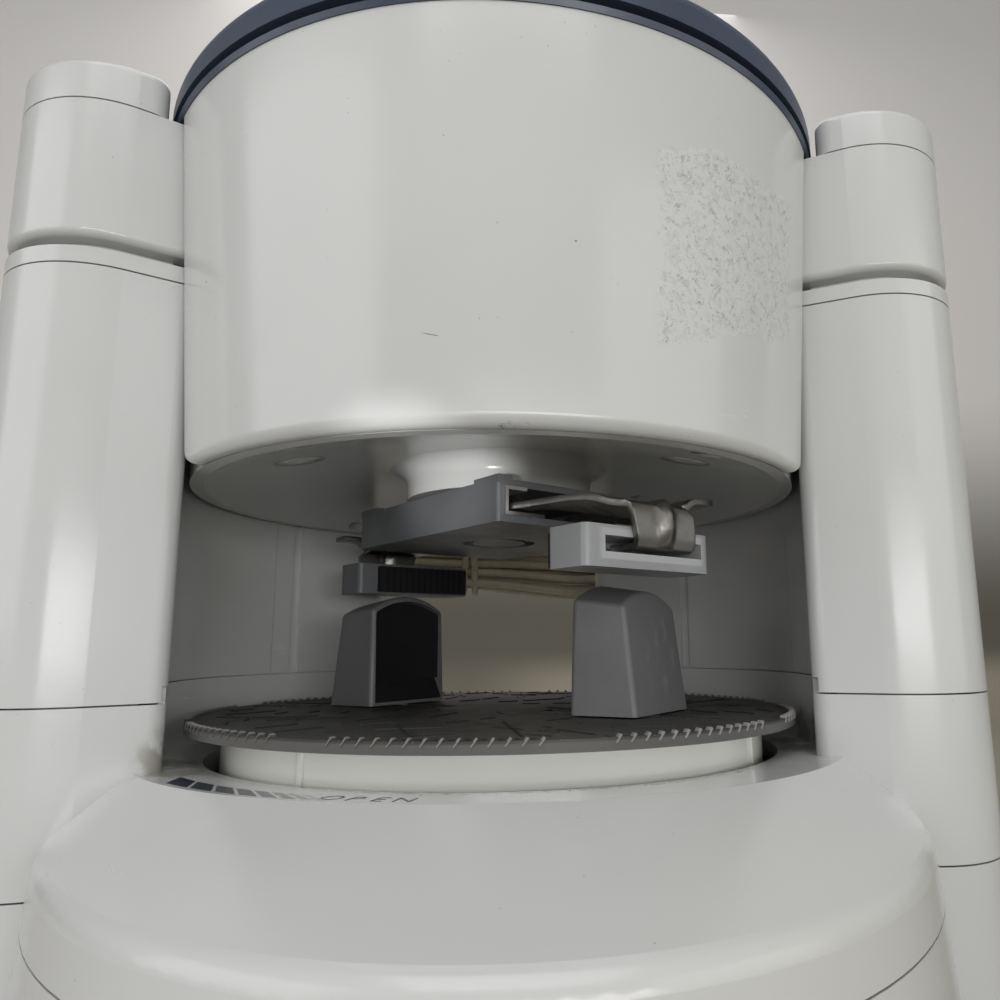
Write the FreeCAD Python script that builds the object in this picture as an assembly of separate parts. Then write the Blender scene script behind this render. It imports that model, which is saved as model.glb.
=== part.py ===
import FreeCAD
import Part
import math
import os

# Electric jar opener, in millimetres.  The turntable's axis is the Z axis, the counter
# is z = 0 and the user stands on the -Y side.  Azimuths are counted in degrees from the
# front (-Y) towards +X.

# ---- overall heights -------------------------------------------------------------
mat_top = 62.0                # turntable surface above the counter
working_height = 53.7         # turntable surface to the head's lower edge, head down
front_shell_height = 79.5     # white wall of the head
foot_height = 2.5
shell_wall = 2.6
seam_gap = 0.35               # visible line between two covers

# ---- base ------------------------------------------------------------------------
base_half_depth = 121.5       # plan of the base's upper edge, an ellipse
base_half_width = 93.5
base_flare = 3.0              # how much wider the base is at the counter
base_edge_drop = 19.5         # that edge below the turntable surface
base_edge_rounding = 4.0
base_seam_drop = 28.9         # seam between cover and tray, below the turntable surface
base_wall = 3.0
ledge_outer_radius = 84.5
ledge_inner_radius = 69.5
ledge_drop = 8.1              # ledge edge below the turntable surface
ledge_fall = 0.9              # inward fall of the ledge
sill_height = 4.0             # solid foot of each column above the ledge
well_depth = 24.0             # well floor below the turntable surface
base_plate_thickness = 3.0
foot_radius = 9.0
foot_circle_radius = 90.0
base_screw_circle = 100.0
screw_head_radius = 3.2
screw_shank_radius = 1.4

# ---- columns, slides and shoulders -----------------------------------------------
column_inner_radius = 78.5
column_outer_radius = 116.0
column_front_azimuth = 59.0
rear_gap_half_width = 39.0
column_seam_height = 5.2      # seam between base and column, above the turntable surface
inner_lip_height = 2.8        # the base's inner wall stands this much above that seam
inner_lip_thickness = 1.3
column_height = 93.1          # from the seam to the column's top
column_cap_height = 3.9
seam_azimuth_left = 121.0     # upright joint between a column's two shells
seam_azimuth_right = 88.0
guide_groove_azimuth = 127.3
guide_groove_width = 2.6      # degrees
guide_groove_depth = 1.2
corner_front_inner = 4.0
column_front_flat = 13.5      # flat left between the front face's two roundings
column_rear_flat = 24.6       # the same on the rear face
corner_rear_inner = 2.5
slide_inset = 5.0
slide_wall = 2.0
slide_clearance = 0.4
slide_foot_clearance = 13.5   # slide's lower end above the counter, head down
shoulder_gap = 2.6            # finger gap between shoulder and column
shoulder_height = 31.3
shoulder_top_height = 9.8
shoulder_edge_rounding = 1.6

# ---- lift drive ------------------------------------------------------------------
screw_radius = 4.0
screw_clearance = 0.1
screw_setback = 19.0          # screw's axis inside the column's outer face
nut_height = 10.0
pulley_radius = 10.0
pulley_height = 5.0
belt_thickness = 1.2
motor_pulley_radius = 6.0
lift_motor_radius = 14.0

# ---- head ------------------------------------------------------------------------
head_lower_radius = 79.5
head_upper_radius = 85.0
front_shell_half_angle = 58.0
front_corner_rounding = 4.0
head_edge_rounding = 2.5
drum_gap = 2.2                # between the head's drum and the columns
drum_wall = 2.5
underside_rise = 8.3          # height of the underside's hollow
underside_rim_width = 3.0
underside_slope = 13.8        # plan width of its slope up to the flat top
top_plate_radius = 80.0
boss_radius = 24.6
boss_bore_radius = 20.0
boss_flare = 4.5
well_screw_setback = 8.3      # screw wells inside the drum's outer face
well_screw_azimuths = (-140.0, -38.0, 38.0, 140.0)
well_screw_radius = 4.0

# ---- top cap and button ----------------------------------------------------------
rim_height = 1.2
rim_groove = 2.0
button_travel = 1.8
button_radius = 86.0
button_wall_height = 4.6
button_dome_height = 14.6
button_wall = 2.4
cap_clearance = 1.3           # between the button and the shoulders
spring_radius = 14.0
spring_wire_radius = 0.6
spring_turns = 4
switch_width = 13.0
switch_depth = 7.0
switch_height = 6.0

# ---- gear train in the head ------------------------------------------------------
spindle_radius = 12.0
bearing_clearance = 0.05
output_teeth = 48
idler_small_teeth = 12
output_module = 1.5
idler_large_teeth = 45
motor_teeth = 12
motor_module = 1.0
gear_width = 8.0
large_gear_width = 5.0
drive_motor_radius = 18.0
drive_motor_height = 38.0

# ---- lid gripper -----------------------------------------------------------------
gripper_turn = -56.0          # heading of the gripper's long axis, from +X
gripper_half_length = 33.0
gripper_half_width = 24.0
gripper_height = 9.7
gripper_wall = 1.6
gripper_gap = 1.2             # below the boss
liner_thickness = 0.8
arm_thickness = 1.6
lid_pinion_module = 1.0
lid_pinion_teeth = 28
lid_reach = 42.0              # rubber face from the axis
lid_pad_thickness = 1.8
lid_pad_end = 12.8             # beyond the axis on the far side of each pad
hook_near_end = -5.6          # wall of the arm that hooks into the holder
hook_far_end = 12.5
holder_thickness = 12.2
holder_half_width = 19.0
holder_height = 8.8
holder_drop = 2.5             # holder's top below the gripper housing
lid_travel_in = 22.5
lid_travel_out = 14.0

# ---- turntable and jar jaws ------------------------------------------------------
mat_radius = 73.9
mat_thickness = 2.3
drum_radius = 66.0
drum_skirt_wall = 2.4
drum_plate = 2.5
drum_height = 12.7
jar_turn = -37.7              # heading from the axis to the right jaw, from +X
jar_reach = 30.4              # jaw's inner face from the axis
jaw_thickness = 16.4
jaw_half_width = 15.0
jaw_height = 30.2
jaw_taper = 0.8               # each flank leans in by this much at the top
jaw_lean = 3.6                # the back leans in by this much at the top
jaw_rim = 1.6                 # wall round the rubber pad
jaw_crown_radius = 28.0
jaw_rounding = 1.3
jaw_roof_fall = 9.0           # degrees by which the roof falls outwards
pad_recess = 1.6
jaw_travel_in = 18.0
jaw_travel_out = 19.5
jaw_neck_length = 8.0
jaw_neck_half_width = 2.2
slot_clearance = 0.3
jar_pinion_module = 1.0
jar_pinion_teeth = 16
rack_height = 5.0
post_radius = 4.0

# ---- cord ------------------------------------------------------------------------
cord_radius = 2.0
cord_exit_height = 138.0
cord_exit_depth = 86.0
relief_length = 21.0
hank_gap = 2.0                # folded cord behind the columns' backs
hank_half_thickness = 5.5
hank_left = -46.0
hank_right = 64.0
hank_top = 118.8
hank_fall_left = 14.6         # underside below the top at the left end
hank_fall_tie = 18.4
hank_fall_right = 25.0
tie_x = -8.6
tie_half_width = 3.0
tie_thickness = 1.5
hook_half_gap = 41.0
hook_width = 6.0

# ---- heights and radii that follow ------------------------------------------------
plate_bottom = foot_height
plate_top = plate_bottom + base_plate_thickness
ledge_top = mat_top - ledge_drop
well_floor = mat_top - well_depth
column_seam = mat_top + column_seam_height
column_top = column_seam + column_height
cap_bottom = column_top - column_cap_height
column_thickness = column_outer_radius - column_inner_radius
corner_front_outer = column_thickness - column_front_flat - corner_front_inner
corner_rear_outer = (math.sqrt(column_outer_radius ** 2 - rear_gap_half_width ** 2)
                     - math.sqrt(column_inner_radius ** 2 - rear_gap_half_width ** 2)
                     - column_rear_flat - corner_rear_inner)
screw_circle_radius = column_outer_radius - screw_setback
shoulder_bottom = column_top + shoulder_gap
shoulder_seam = shoulder_bottom + shoulder_height
shoulder_top = shoulder_seam + shoulder_top_height
head_bottom = mat_top + working_height
head_top = head_bottom + front_shell_height
underside_top = head_bottom + underside_rise + 3.0
drum_outer_radius = column_inner_radius - drum_gap
well_screw_circle = drum_outer_radius - well_screw_setback
boss_bottom = head_bottom
gripper_top = boss_bottom - gripper_gap
gripper_bottom = gripper_top - gripper_height
button_bottom = head_top + rim_height + rim_groove
mat_bottom = mat_top - mat_thickness
button_inner_radius = button_radius - button_wall
top_plate_top = head_top + 2.0
rack_bottom = mat_top - 11.8
carrier_top = rack_bottom - 0.4
carrier_bottom = carrier_top - 2.4
hank_front = math.sqrt(column_outer_radius ** 2 - hook_half_gap ** 2) + hank_gap
hank_depth = hank_front + hank_half_thickness   # middle of the folded cord

origin = FreeCAD.Vector(0, 0, 0)
z_axis = FreeCAD.Vector(0, 0, 1)
x_axis = FreeCAD.Vector(1, 0, 0)
y_axis = FreeCAD.Vector(0, 1, 0)


# ---- shape helpers ---------------------------------------------------------------
def vec(x, y, z=0.0):
    return FreeCAD.Vector(x, y, z)


def polar(radius, azimuth, z=0.0):
    angle = math.radians(azimuth)
    return vec(radius * math.sin(angle), -radius * math.cos(angle), z)


def cylinder(radius, z0, z1, x=0.0, y=0.0):
    return Part.makeCylinder(radius, z1 - z0, vec(x, y, z0), z_axis)


def tube(inner, outer, z0, z1, x=0.0, y=0.0):
    return cylinder(outer, z0, z1, x, y).cut(cylinder(inner, z0 - 1.0, z1 + 1.0, x, y))


def box(x0, x1, y0, y1, z0, z1):
    return Part.makeBox(x1 - x0, y1 - y0, z1 - z0, vec(x0, y0, z0))


def polygon(points):
    return Part.Face(Part.makePolygon([vec(*p) for p in points + [points[0]]]))


def prism(points, z0, z1):
    face = polygon([(x, y, z0) for x, y in points])
    return face.extrude(vec(0, 0, z1 - z0))


def side_profile(points, y0, y1):
    """Extrude an outline given in x and z along Y."""
    face = polygon([(x, y0, z) for x, z in points])
    return face.extrude(vec(0, y1 - y0, 0))


def line(a, b):
    return Part.LineSegment(a, b).toShape()


def arc(a, b, c):
    return Part.Arc(a, b, c).toShape()


def revolved(points, sweep=360.0, start_azimuth=0.0):
    """Turn an outline of (radius, z) about Z.  A point (radius, z, True) is the middle
    of an arc between its neighbours."""
    place = [(polar(p[0], start_azimuth, p[1]), len(p) > 2) for p in points]
    edges = []
    count = len(place)
    for i in range(count):
        here, here_mid = place[i]
        after, after_mid = place[(i + 1) % count]
        if here_mid:
            continue
        if after_mid:
            edges.append(arc(here, after, place[(i + 2) % count][0]))
        else:
            edges.append(line(here, after))
    face = Part.Face(Part.Wire(edges))
    return face.revolve(origin, z_axis, sweep)


def rounded_corner(before, corner, after, radius):
    """Start, middle and end of an arc that rounds a corner of an outline."""
    here = vec(*corner)
    back = vec(*before) - here
    ahead = vec(*after) - here
    back.normalize()
    ahead.normalize()
    half = back.getAngle(ahead) / 2.0
    reach = radius / math.tan(half)
    bisector = back + ahead
    bisector.normalize()
    middle = here + bisector * (radius / math.sin(half) - radius)
    enter = here + back * reach
    leave = here + ahead * reach
    return [(enter.x, enter.y), (middle.x, middle.y, True), (leave.x, leave.y)]


def joined(shapes):
    whole = shapes[0]
    for shape in shapes[1:]:
        whole = whole.fuse(shape)
    return whole


def united(shapes):
    """Join shapes and merge the faces that continue one another."""
    return joined(shapes).removeSplitter()


def turned(shape, degrees, x=0.0, y=0.0):
    copy = shape.copy()
    copy.rotate(vec(x, y, 0), z_axis, degrees)
    return copy


def mirrored(shape):
    return shape.mirror(origin, x_axis)


def both_sides(shape):
    return Part.makeCompound([shape, mirrored(shape)])


def upright_edges(shape, corners, reach=0.6):
    """Vertical edges that stand within reach of the given plan corners."""
    found = []
    for edge in shape.Edges:
        low, high = edge.BoundBox.ZMin, edge.BoundBox.ZMax
        if high - low < 0.5 or edge.BoundBox.XLength > 0.01 or edge.BoundBox.YLength > 0.01:
            continue
        foot = edge.Vertexes[0].Point
        if any(math.hypot(foot.x - c.x, foot.y - c.y) < reach for c in corners):
            found.append(edge)
    return found


def level_edges(shape, z):
    return [e for e in shape.Edges
            if abs(e.BoundBox.ZMin - z) < 0.01 and abs(e.BoundBox.ZMax - z) < 0.01]


def save(name, shape):
    shape.exportStep("parts/" + name + ".step")


# ---- columns ---------------------------------------------------------------------
def column_block(inset, z0, z1, inner=column_inner_radius, rounded=True):
    """Right-hand column outline, drawn in by inset on every side, as a solid."""
    r_in = inner + inset
    r_out = column_outer_radius - inset
    along = polar(1.0, column_front_azimuth)
    across = vec(-along.y, along.x)
    front_in = along * math.sqrt(r_in ** 2 - inset ** 2) + across * inset
    front_out = along * math.sqrt(r_out ** 2 - inset ** 2) + across * inset
    gap = rear_gap_half_width + inset
    rear_out = vec(gap, math.sqrt(r_out ** 2 - gap ** 2))
    rear_in = vec(gap, math.sqrt(r_in ** 2 - gap ** 2))
    lift = vec(0, 0, z0)
    wire = Part.Wire([line(front_in + lift, front_out + lift),
                      arc(front_out + lift, polar(r_out, 100.0, z0), rear_out + lift),
                      line(rear_out + lift, rear_in + lift),
                      arc(rear_in + lift, polar(r_in, 100.0, z0), front_in + lift)])
    solid = Part.Face(wire).extrude(vec(0, 0, z1 - z0))
    if not rounded:
        return solid
    for corner, radius in ((front_in, corner_front_inner), (front_out, corner_front_outer),
                           (rear_out, corner_rear_outer), (rear_in, corner_rear_inner)):
        size = max(radius - inset, 0.8)
        solid = solid.makeFillet(size, upright_edges(solid, [corner]))
    return solid


def beyond(azimuth, radius=160.0, z0=-10.0, z1=260.0):
    """Wedge of the right half that lies behind the given azimuth."""
    points = [vec(0, 0)]
    points.append(polar(radius, azimuth))
    points.append(polar(radius * 1.5, (azimuth + 180.0) / 2.0))
    points.append(polar(radius, 180.0))
    return prism([(p.x, p.y) for p in points], z0, z1)


def guide_groove():
    """Upright groove in a column's inner wall that the head's key runs in."""
    groove = tube(column_inner_radius - 1.0, column_inner_radius + guide_groove_depth,
                  column_seam - 1.0, column_top + 1.0)
    groove = groove.common(beyond(guide_groove_azimuth - guide_groove_width / 2.0))
    return groove.cut(beyond(guide_groove_azimuth + guide_groove_width / 2.0))


def column_shells(seam_azimuth):
    """Front and rear shells of one column, as drawn for the right-hand side."""
    shell = column_block(0.0, column_seam, cap_bottom)
    shell = shell.cut(column_block(shell_wall, column_seam - 1.0, cap_bottom + 1.0))
    lip = tube(column_inner_radius - 1.0,
               column_inner_radius + inner_lip_thickness + slide_clearance,
               column_seam - 1.0, column_seam + inner_lip_height + seam_gap)
    shell = shell.cut(lip)
    shell = shell.cut(guide_groove())
    half_gap = math.degrees(seam_gap / 2.0 / column_inner_radius)
    front = shell.cut(beyond(seam_azimuth - half_gap))
    rear = shell.common(beyond(seam_azimuth + half_gap))
    return front, rear


def relief_root(clearance=0.0):
    """Neck of the strain relief that sits in the left column's wall."""
    return Part.makeCylinder(3.6 + clearance, 4.0,
                             vec(-rear_gap_half_width - 3.5, cord_exit_depth,
                                 cord_exit_height), x_axis)


def make_columns():
    cap = column_block(0.0, cap_bottom + seam_gap, column_top)
    cap = cap.cut(column_block(slide_inset - slide_clearance, cap_bottom - 1.0, column_top + 1.0))
    cap = cap.cut(guide_groove())
    slide_top = shoulder_bottom
    slide = column_block(slide_inset, slide_foot_clearance, slide_top)
    slide = slide.cut(column_block(slide_inset + slide_wall, slide_foot_clearance - 1.0,
                                   slide_top + 1.0))
    for side, seam in (("right", seam_azimuth_right), ("left", seam_azimuth_left)):
        front, rear = column_shells(seam)
        pieces = {"column_front_": front, "column_rear_": rear, "shoulder_": shoulder()}
        for name, shape in pieces.items():
            placed = shape if side == "right" else mirrored(shape)
            save(name + side, placed.cut(relief_root(0.05)))
    save("column_caps", both_sides(cap))
    save("head_slides", both_sides(slide))
    save("shoulder_tops", both_sides(shoulder_cover()))
    save("lift_nuts", both_sides(lift_nut()))


def shoulder():
    outer = column_block(0.0, shoulder_bottom, shoulder_seam, inner=drum_outer_radius)
    lower = [e for e in level_edges(outer, shoulder_bottom)
             if not on_radius(e, drum_outer_radius)]
    outer = outer.makeFillet(shoulder_edge_rounding, lower)
    hollow = column_block(shell_wall, shoulder_bottom + shell_wall, shoulder_seam - shell_wall,
                          inner=drum_outer_radius)
    throat = column_block(slide_inset + slide_wall, shoulder_bottom - 1.0,
                          shoulder_bottom + shell_wall + 1.0)
    return outer.cut(hollow).cut(throat)


def on_radius(edge, radius):
    middle = edge.valueAt((edge.FirstParameter + edge.LastParameter) / 2.0)
    return abs(math.hypot(middle.x, middle.y) - radius) < 0.5


def shoulder_cover():
    """Cover on top of a shoulder, hollowed round the top cap."""
    cover = column_block(0.0, shoulder_seam + seam_gap, shoulder_top,
                         inner=button_radius + cap_clearance)
    cover = cover.makeFillet(shoulder_edge_rounding, level_edges(cover, shoulder_top))
    hollow = column_block(shell_wall, shoulder_seam - 1.0, shoulder_top - shell_wall,
                          inner=button_radius + cap_clearance)
    return cover.cut(hollow)


def lift_nut():
    block = column_block(slide_inset + slide_wall, slide_foot_clearance,
                         slide_foot_clearance + nut_height)
    slab = box(screw_circle_radius - 14.0, screw_circle_radius + 14.0, -16.0, 16.0,
               slide_foot_clearance, slide_foot_clearance + nut_height)
    bore = cylinder(screw_radius + screw_clearance, 0.0, 60.0, screw_circle_radius)
    return block.common(slab).cut(bore)


belt_bottom = plate_top + 2.1
belt_top = belt_bottom + pulley_height - 1.0
motor_top = well_floor - base_wall - 3.0


def lift_screw(side):
    x = screw_circle_radius * side
    rod = cylinder(screw_radius, plate_top + 0.1, column_top - 2.0, x)
    grooves = []
    pitch = 6.0
    level = slide_foot_clearance + nut_height + 4.0
    while level < column_top - 8.0:
        grooves.append(tube(screw_radius - 0.5, screw_radius + 1.0, level, level + 2.0, x))
        level += pitch
    rod = rod.cut(Part.makeCompound(grooves))
    wheel = tube(pulley_radius - 1.0, pulley_radius, plate_top + 1.6,
                 plate_top + 1.6 + pulley_height, x)
    web = cylinder(pulley_radius - 0.9, plate_top + 2.4, plate_top + 5.2, x)
    return united([rod, wheel, web])


def make_lift_drive():
    save("lift_screw_right", lift_screw(1))
    save("lift_screw_left", lift_screw(-1))
    low = belt_bottom
    high = belt_top
    reach = screw_circle_radius
    outer = pulley_radius + 0.1 + belt_thickness
    inner = pulley_radius + 0.1

    def loop(radius):
        ends = [cylinder(radius, low, high, s * reach) for s in (-1, 1)]
        return united(ends + [box(-reach, reach, -radius, radius, low, high)])

    save("lift_belt", loop(outer).cut(loop(inner)))
    shift = pulley_radius - motor_pulley_radius
    pulley = cylinder(motor_pulley_radius, low - 0.3, high + 0.3, 0.0, shift)
    shaft = cylinder(1.5, high + 0.3, high + 4.0, 0.0, shift)
    save("lift_motor_pulley", united([pulley, shaft]))
    can = cylinder(lift_motor_radius, high + 1.4, motor_top, 0.0, shift)
    can = can.makeFillet(1.5, level_edges(can, motor_top))
    lugs = box(-22.0, 22.0, shift - 4.0, shift + 4.0, high + 1.4, high + 3.4)
    motor = united([can, lugs]).cut(cylinder(1.6, high, high + 4.2, 0.0, shift))
    save("lift_motor", motor)


# ---- base ------------------------------------------------------------------------
def ellipse(half_width, half_depth, z):
    """Plan ellipse whose longer axis is Y, starting at the back."""
    edge = Part.Ellipse(vec(0, 0, z), half_depth, half_width).toShape()
    return Part.Wire([turned(edge, 90.0)])


def base_nose(inset, rounded=False):
    """Oval body of the base: a flared skirt and a top that closes in to the ledge."""
    low = plate_bottom - (1.0 if inset else 0.0)
    edge = mat_top - base_edge_drop - inset * 0.7
    wide, deep = base_half_width - inset, base_half_depth - inset
    crest = Part.Circle(vec(0, 0, ledge_top - inset), z_axis, ledge_outer_radius).toShape()
    skirt = Part.makeLoft([ellipse(wide + base_flare, deep + base_flare, low),
                           ellipse(wide, deep, edge)], True, True)
    top = Part.makeLoft([ellipse(wide, deep, edge), Part.Wire([turned(crest, 90.0)])],
                        True, True)
    body = united([skirt, top])
    if rounded:
        body = body.makeFillet(base_edge_rounding, level_edges(body, edge))
    return body


def base_shell():
    """Walls of the base: the oval body and the feet of both columns, open below."""
    hollow_nose = base_nose(base_wall)
    hollow_stub = column_block(base_wall, plate_bottom - 1.0, column_seam + 1.0)
    nose = base_nose(0.0, True).cut(hollow_nose).cut(hollow_stub).cut(mirrored(hollow_stub))
    stub = column_block(0.0, plate_bottom, column_seam - seam_gap)
    stub = stub.cut(hollow_stub).cut(hollow_nose)
    return joined([nose, stub, mirrored(stub)])


def make_base():
    lip = tube(column_inner_radius, column_inner_radius + inner_lip_thickness,
               column_seam - 2.0, column_seam + inner_lip_height)
    lip = lip.common(beyond(column_front_azimuth + 4.5))
    lip = lip.common(box(rear_gap_half_width + 2.5, 200.0, 0.0, 200.0, 0.0, 200.0).fuse(
        box(column_inner_radius / 2.0, 200.0, -200.0, 0.0, 0.0, 200.0)))
    shell = base_shell()
    everything = box(-200.0, 200.0, -200.0, 200.0, 0.0, 200.0)
    seam = mat_top - base_seam_drop
    cover = shell.common(everything.cut(box(-200.0, 200.0, -200.0, 200.0, -1.0,
                                            seam + seam_gap / 2.0)))
    skirt = shell.common(box(-200.0, 200.0, -200.0, 200.0, 0.0, seam - seam_gap / 2.0))
    well = cylinder(ledge_inner_radius + base_wall, well_floor - base_wall, ledge_top - 2.0)
    boss_top = carrier_bottom - 0.3
    cavity = revolved([(0.0, boss_top), (16.0, boss_top), (16.0, well_floor),
                       (ledge_inner_radius, well_floor),
                       (ledge_inner_radius, ledge_top - ledge_fall),
                       (ledge_outer_radius, ledge_top), (ledge_outer_radius, ledge_top + 3.0),
                       (0.0, ledge_top + 3.0)])
    sill = column_block(0.0, ledge_top - 1.0, ledge_top + sill_height)
    sill = sill.cut(column_block(slide_inset - slide_clearance, 0.0, column_seam))
    sill = sill.common(cylinder(ledge_outer_radius + 1.0, 0.0, 200.0))
    cover = joined([cover.fuse(well).cut(cavity), sill, mirrored(sill)])
    cover = cover.cut(cylinder(column_inner_radius, ledge_top, column_seam + 20.0))
    cover = joined([cover, lip, mirrored(lip)])
    cover = cover.cut(cylinder(post_radius, 0.0, mat_top))
    save("base_cover", cover)

    slab = box(-200.0, 200.0, -200.0, 200.0, plate_bottom, plate_top)
    stub = column_block(0.0, plate_bottom, plate_top)
    plate = joined([base_nose(0.0).common(slab), stub, mirrored(stub)])
    pillar_y = pulley_radius - motor_pulley_radius
    pillars = [cylinder(2.6, plate_top - 1.0, belt_top + 1.4, s * 19.0, pillar_y)
               for s in (-1, 1)]
    seats = [tube(screw_radius + screw_clearance, 9.0, plate_top - 1.0, plate_top + 1.4,
                  s * screw_circle_radius) for s in (-1, 1)]
    plate = joined([plate, skirt] + pillars + seats)
    for x, y in base_screw_places():
        plate = plate.cut(cylinder(screw_shank_radius + 0.1, 0.0, 20.0, x, y))
        plate = plate.cut(cylinder(screw_head_radius + 0.2, 0.0, plate_bottom + 1.8, x, y))
    save("base_tray", plate)
    feet = []
    for azimuth in (-135.0, -45.0, 45.0, 135.0):
        spot = polar(foot_circle_radius, azimuth)
        foot = cylinder(foot_radius, 0.0, foot_height, spot.x, spot.y)
        feet.append(foot.makeChamfer(0.6, level_edges(foot, 0.0)))
    save("rubber_feet", Part.makeCompound(feet))
    screws = []
    for x, y in base_screw_places():
        head = cylinder(screw_head_radius, plate_bottom + 0.2, plate_bottom + 1.8, x, y)
        shank = cylinder(screw_shank_radius, plate_bottom + 1.8, plate_top, x, y)
        screws.append(head.fuse(shank))
    save("base_screws", Part.makeCompound(screws))
    post = cylinder(post_radius, well_floor - base_wall - 1.0, mat_bottom - 1.5)
    flange = cylinder(post_radius + 3.0, well_floor - base_wall - 2.0, well_floor - base_wall)
    save("turntable_post", united([post, flange]))
    board = box(-38.0, 38.0, 68.0, 96.0, plate_top + 4.0, plate_top + 5.6)
    blocks = [board, box(-30.0, -14.0, 74.0, 90.0, plate_top + 5.6, plate_top + 19.0),
              cylinder(5.0, plate_top + 5.6, plate_top + 18.0, 2.0, 82.0),
              box(14.0, 30.0, 72.0, 80.0, plate_top + 5.6, plate_top + 12.0)]
    stands = [cylinder(2.5, plate_top, plate_top + 4.0, x, y)
              for x in (-34.0, 34.0) for y in (72.0, 92.0)]
    save("control_board", united(blocks + stands))


def base_screw_places():
    spots = [polar(base_screw_circle, a) for a in (-165.0, -75.0, -15.0, 15.0, 75.0, 165.0)]
    return [(p.x, p.y) for p in spots]


# ---- gears -----------------------------------------------------------------------
def gear(teeth, module, z0, z1, x=0.0, y=0.0, tooth_heading=0.0):
    """Spur gear with straight-sided teeth; one tooth points along tooth_heading."""
    pitch_radius = teeth * module / 2.0
    root = pitch_radius - 1.25 * module
    tip = pitch_radius + 0.85 * module
    step = 360.0 / teeth
    blank = cylinder(root, z0, z1, x, y)
    cogs = []
    for i in range(teeth):
        heading = tooth_heading + i * step
        corners = [(root - 0.3 * module, -0.24), (tip, -0.11), (tip, 0.11),
                   (root - 0.3 * module, 0.24)]
        points = []
        for radius, share in corners:
            angle = math.radians(heading + share * step)
            points.append((x + radius * math.cos(angle), y + radius * math.sin(angle)))
        cogs.append(prism(points, z0, z1))
    return blank.multiFuse(cogs).removeSplitter()


def rack_teeth(x0, x1, pitch_y, side, module, z0, z1):
    """Teeth of a rack along X whose pitch line is y = pitch_y; side is where they point."""
    pitch = math.pi * module
    root = pitch_y - side * 1.45 * module
    tip = pitch_y + side * 0.85 * module
    teeth = []
    first = math.ceil((x0 - pitch / 2.0) / pitch)
    last = math.floor((x1 - pitch / 2.0) / pitch)
    for i in range(first, last + 1):
        centre = (i + 0.5) * pitch
        points = [(centre - 0.24 * pitch, root), (centre - 0.11 * pitch, tip),
                  (centre + 0.11 * pitch, tip), (centre + 0.24 * pitch, root)]
        teeth.append(prism(points, z0, z1))
    return teeth


# ---- turntable and jar jaws ------------------------------------------------------
jar_pitch_radius = jar_pinion_teeth * jar_pinion_module / 2.0
neck_start = jar_reach + 2.9


def jaw_slots(z0, z1):
    inner = neck_start - jaw_travel_in - 0.5
    outer = neck_start + jaw_neck_length + jaw_travel_out + 0.5
    half = jaw_neck_half_width + slot_clearance
    slot = box(inner, outer, -half, half, z0, z1)
    return turned(slot, jar_turn).fuse(turned(slot, jar_turn + 180.0))


def make_turntable():
    drum_bottom = mat_bottom - drum_height
    inner = drum_radius - drum_skirt_wall
    drum = revolved([(0.0, mat_bottom), (drum_radius, mat_bottom), (drum_radius, drum_bottom),
                     (inner, drum_bottom), (inner, mat_bottom - drum_plate),
                     (post_radius + 3.5, mat_bottom - drum_plate),
                     (post_radius + 3.5, mat_bottom - drum_plate - 1.5),
                     (0.0, mat_bottom - drum_plate - 1.5)])
    drum = drum.cut(cylinder(post_radius + bearing_clearance, 0.0, mat_bottom - 1.2))
    drum = drum.cut(jaw_slots(mat_bottom - 6.0, mat_bottom + 1.0))
    save("turntable_drum", drum)

    mat = cylinder(mat_radius, mat_bottom, mat_top)
    mat = mat.cut(jaw_slots(mat_bottom - 1.0, mat_top + 1.0))
    save("turntable_mat", mat)

    carrier = tube(post_radius + 1.0, inner, carrier_bottom, carrier_top)
    save("jaw_carrier_plate", carrier)

    pinion = gear(jar_pinion_teeth, jar_pinion_module, rack_bottom + 0.2,
                  rack_bottom + rack_height, tooth_heading=90.0)
    pinion = pinion.cut(cylinder(post_radius + bearing_clearance, 0.0, mat_top))
    save("jar_pinion", turned(pinion, jar_turn))

    for side, heading in (("right", jar_turn), ("left", jar_turn + 180.0)):
        save("jar_jaw_" + side, turned(jar_jaw(), heading))
        save("jar_pad_" + side, turned(jar_pad(), heading))


pad_half_width = jaw_half_width - jaw_rim
pad_depth = 5.2
jaw_foot = mat_top + 0.4
jaw_top = mat_top + jaw_height


def jaw_crown(drop):
    """Space below the jaw's arched roof, lowered by drop."""
    fall = math.radians(jaw_roof_fall)
    axis = vec(math.cos(fall), 0.0, -math.sin(fall))
    height = jaw_top - drop - jaw_crown_radius / math.cos(fall)
    start = vec(jar_reach, 0.0, height) - axis * 30.0
    roof = Part.makeCylinder(jaw_crown_radius, 110.0, start, axis)
    return roof.fuse(box(0.0, 80.0, -30.0, 30.0, jaw_foot - 1.0, jaw_foot + 12.0))


def pad_pocket():
    low = jaw_foot + 0.8
    pocket = box(jar_reach - 1.0, jar_reach + pad_depth, -pad_half_width, pad_half_width,
                 low, jaw_top)
    upper_edges = [e for e in pocket.Edges if e.BoundBox.XLength > 1.0
                   and e.BoundBox.ZMin > jaw_top - 0.01]
    pocket = pocket.makeFillet(6.5, upper_edges)
    return pocket.common(jaw_crown(jaw_rim))


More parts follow.
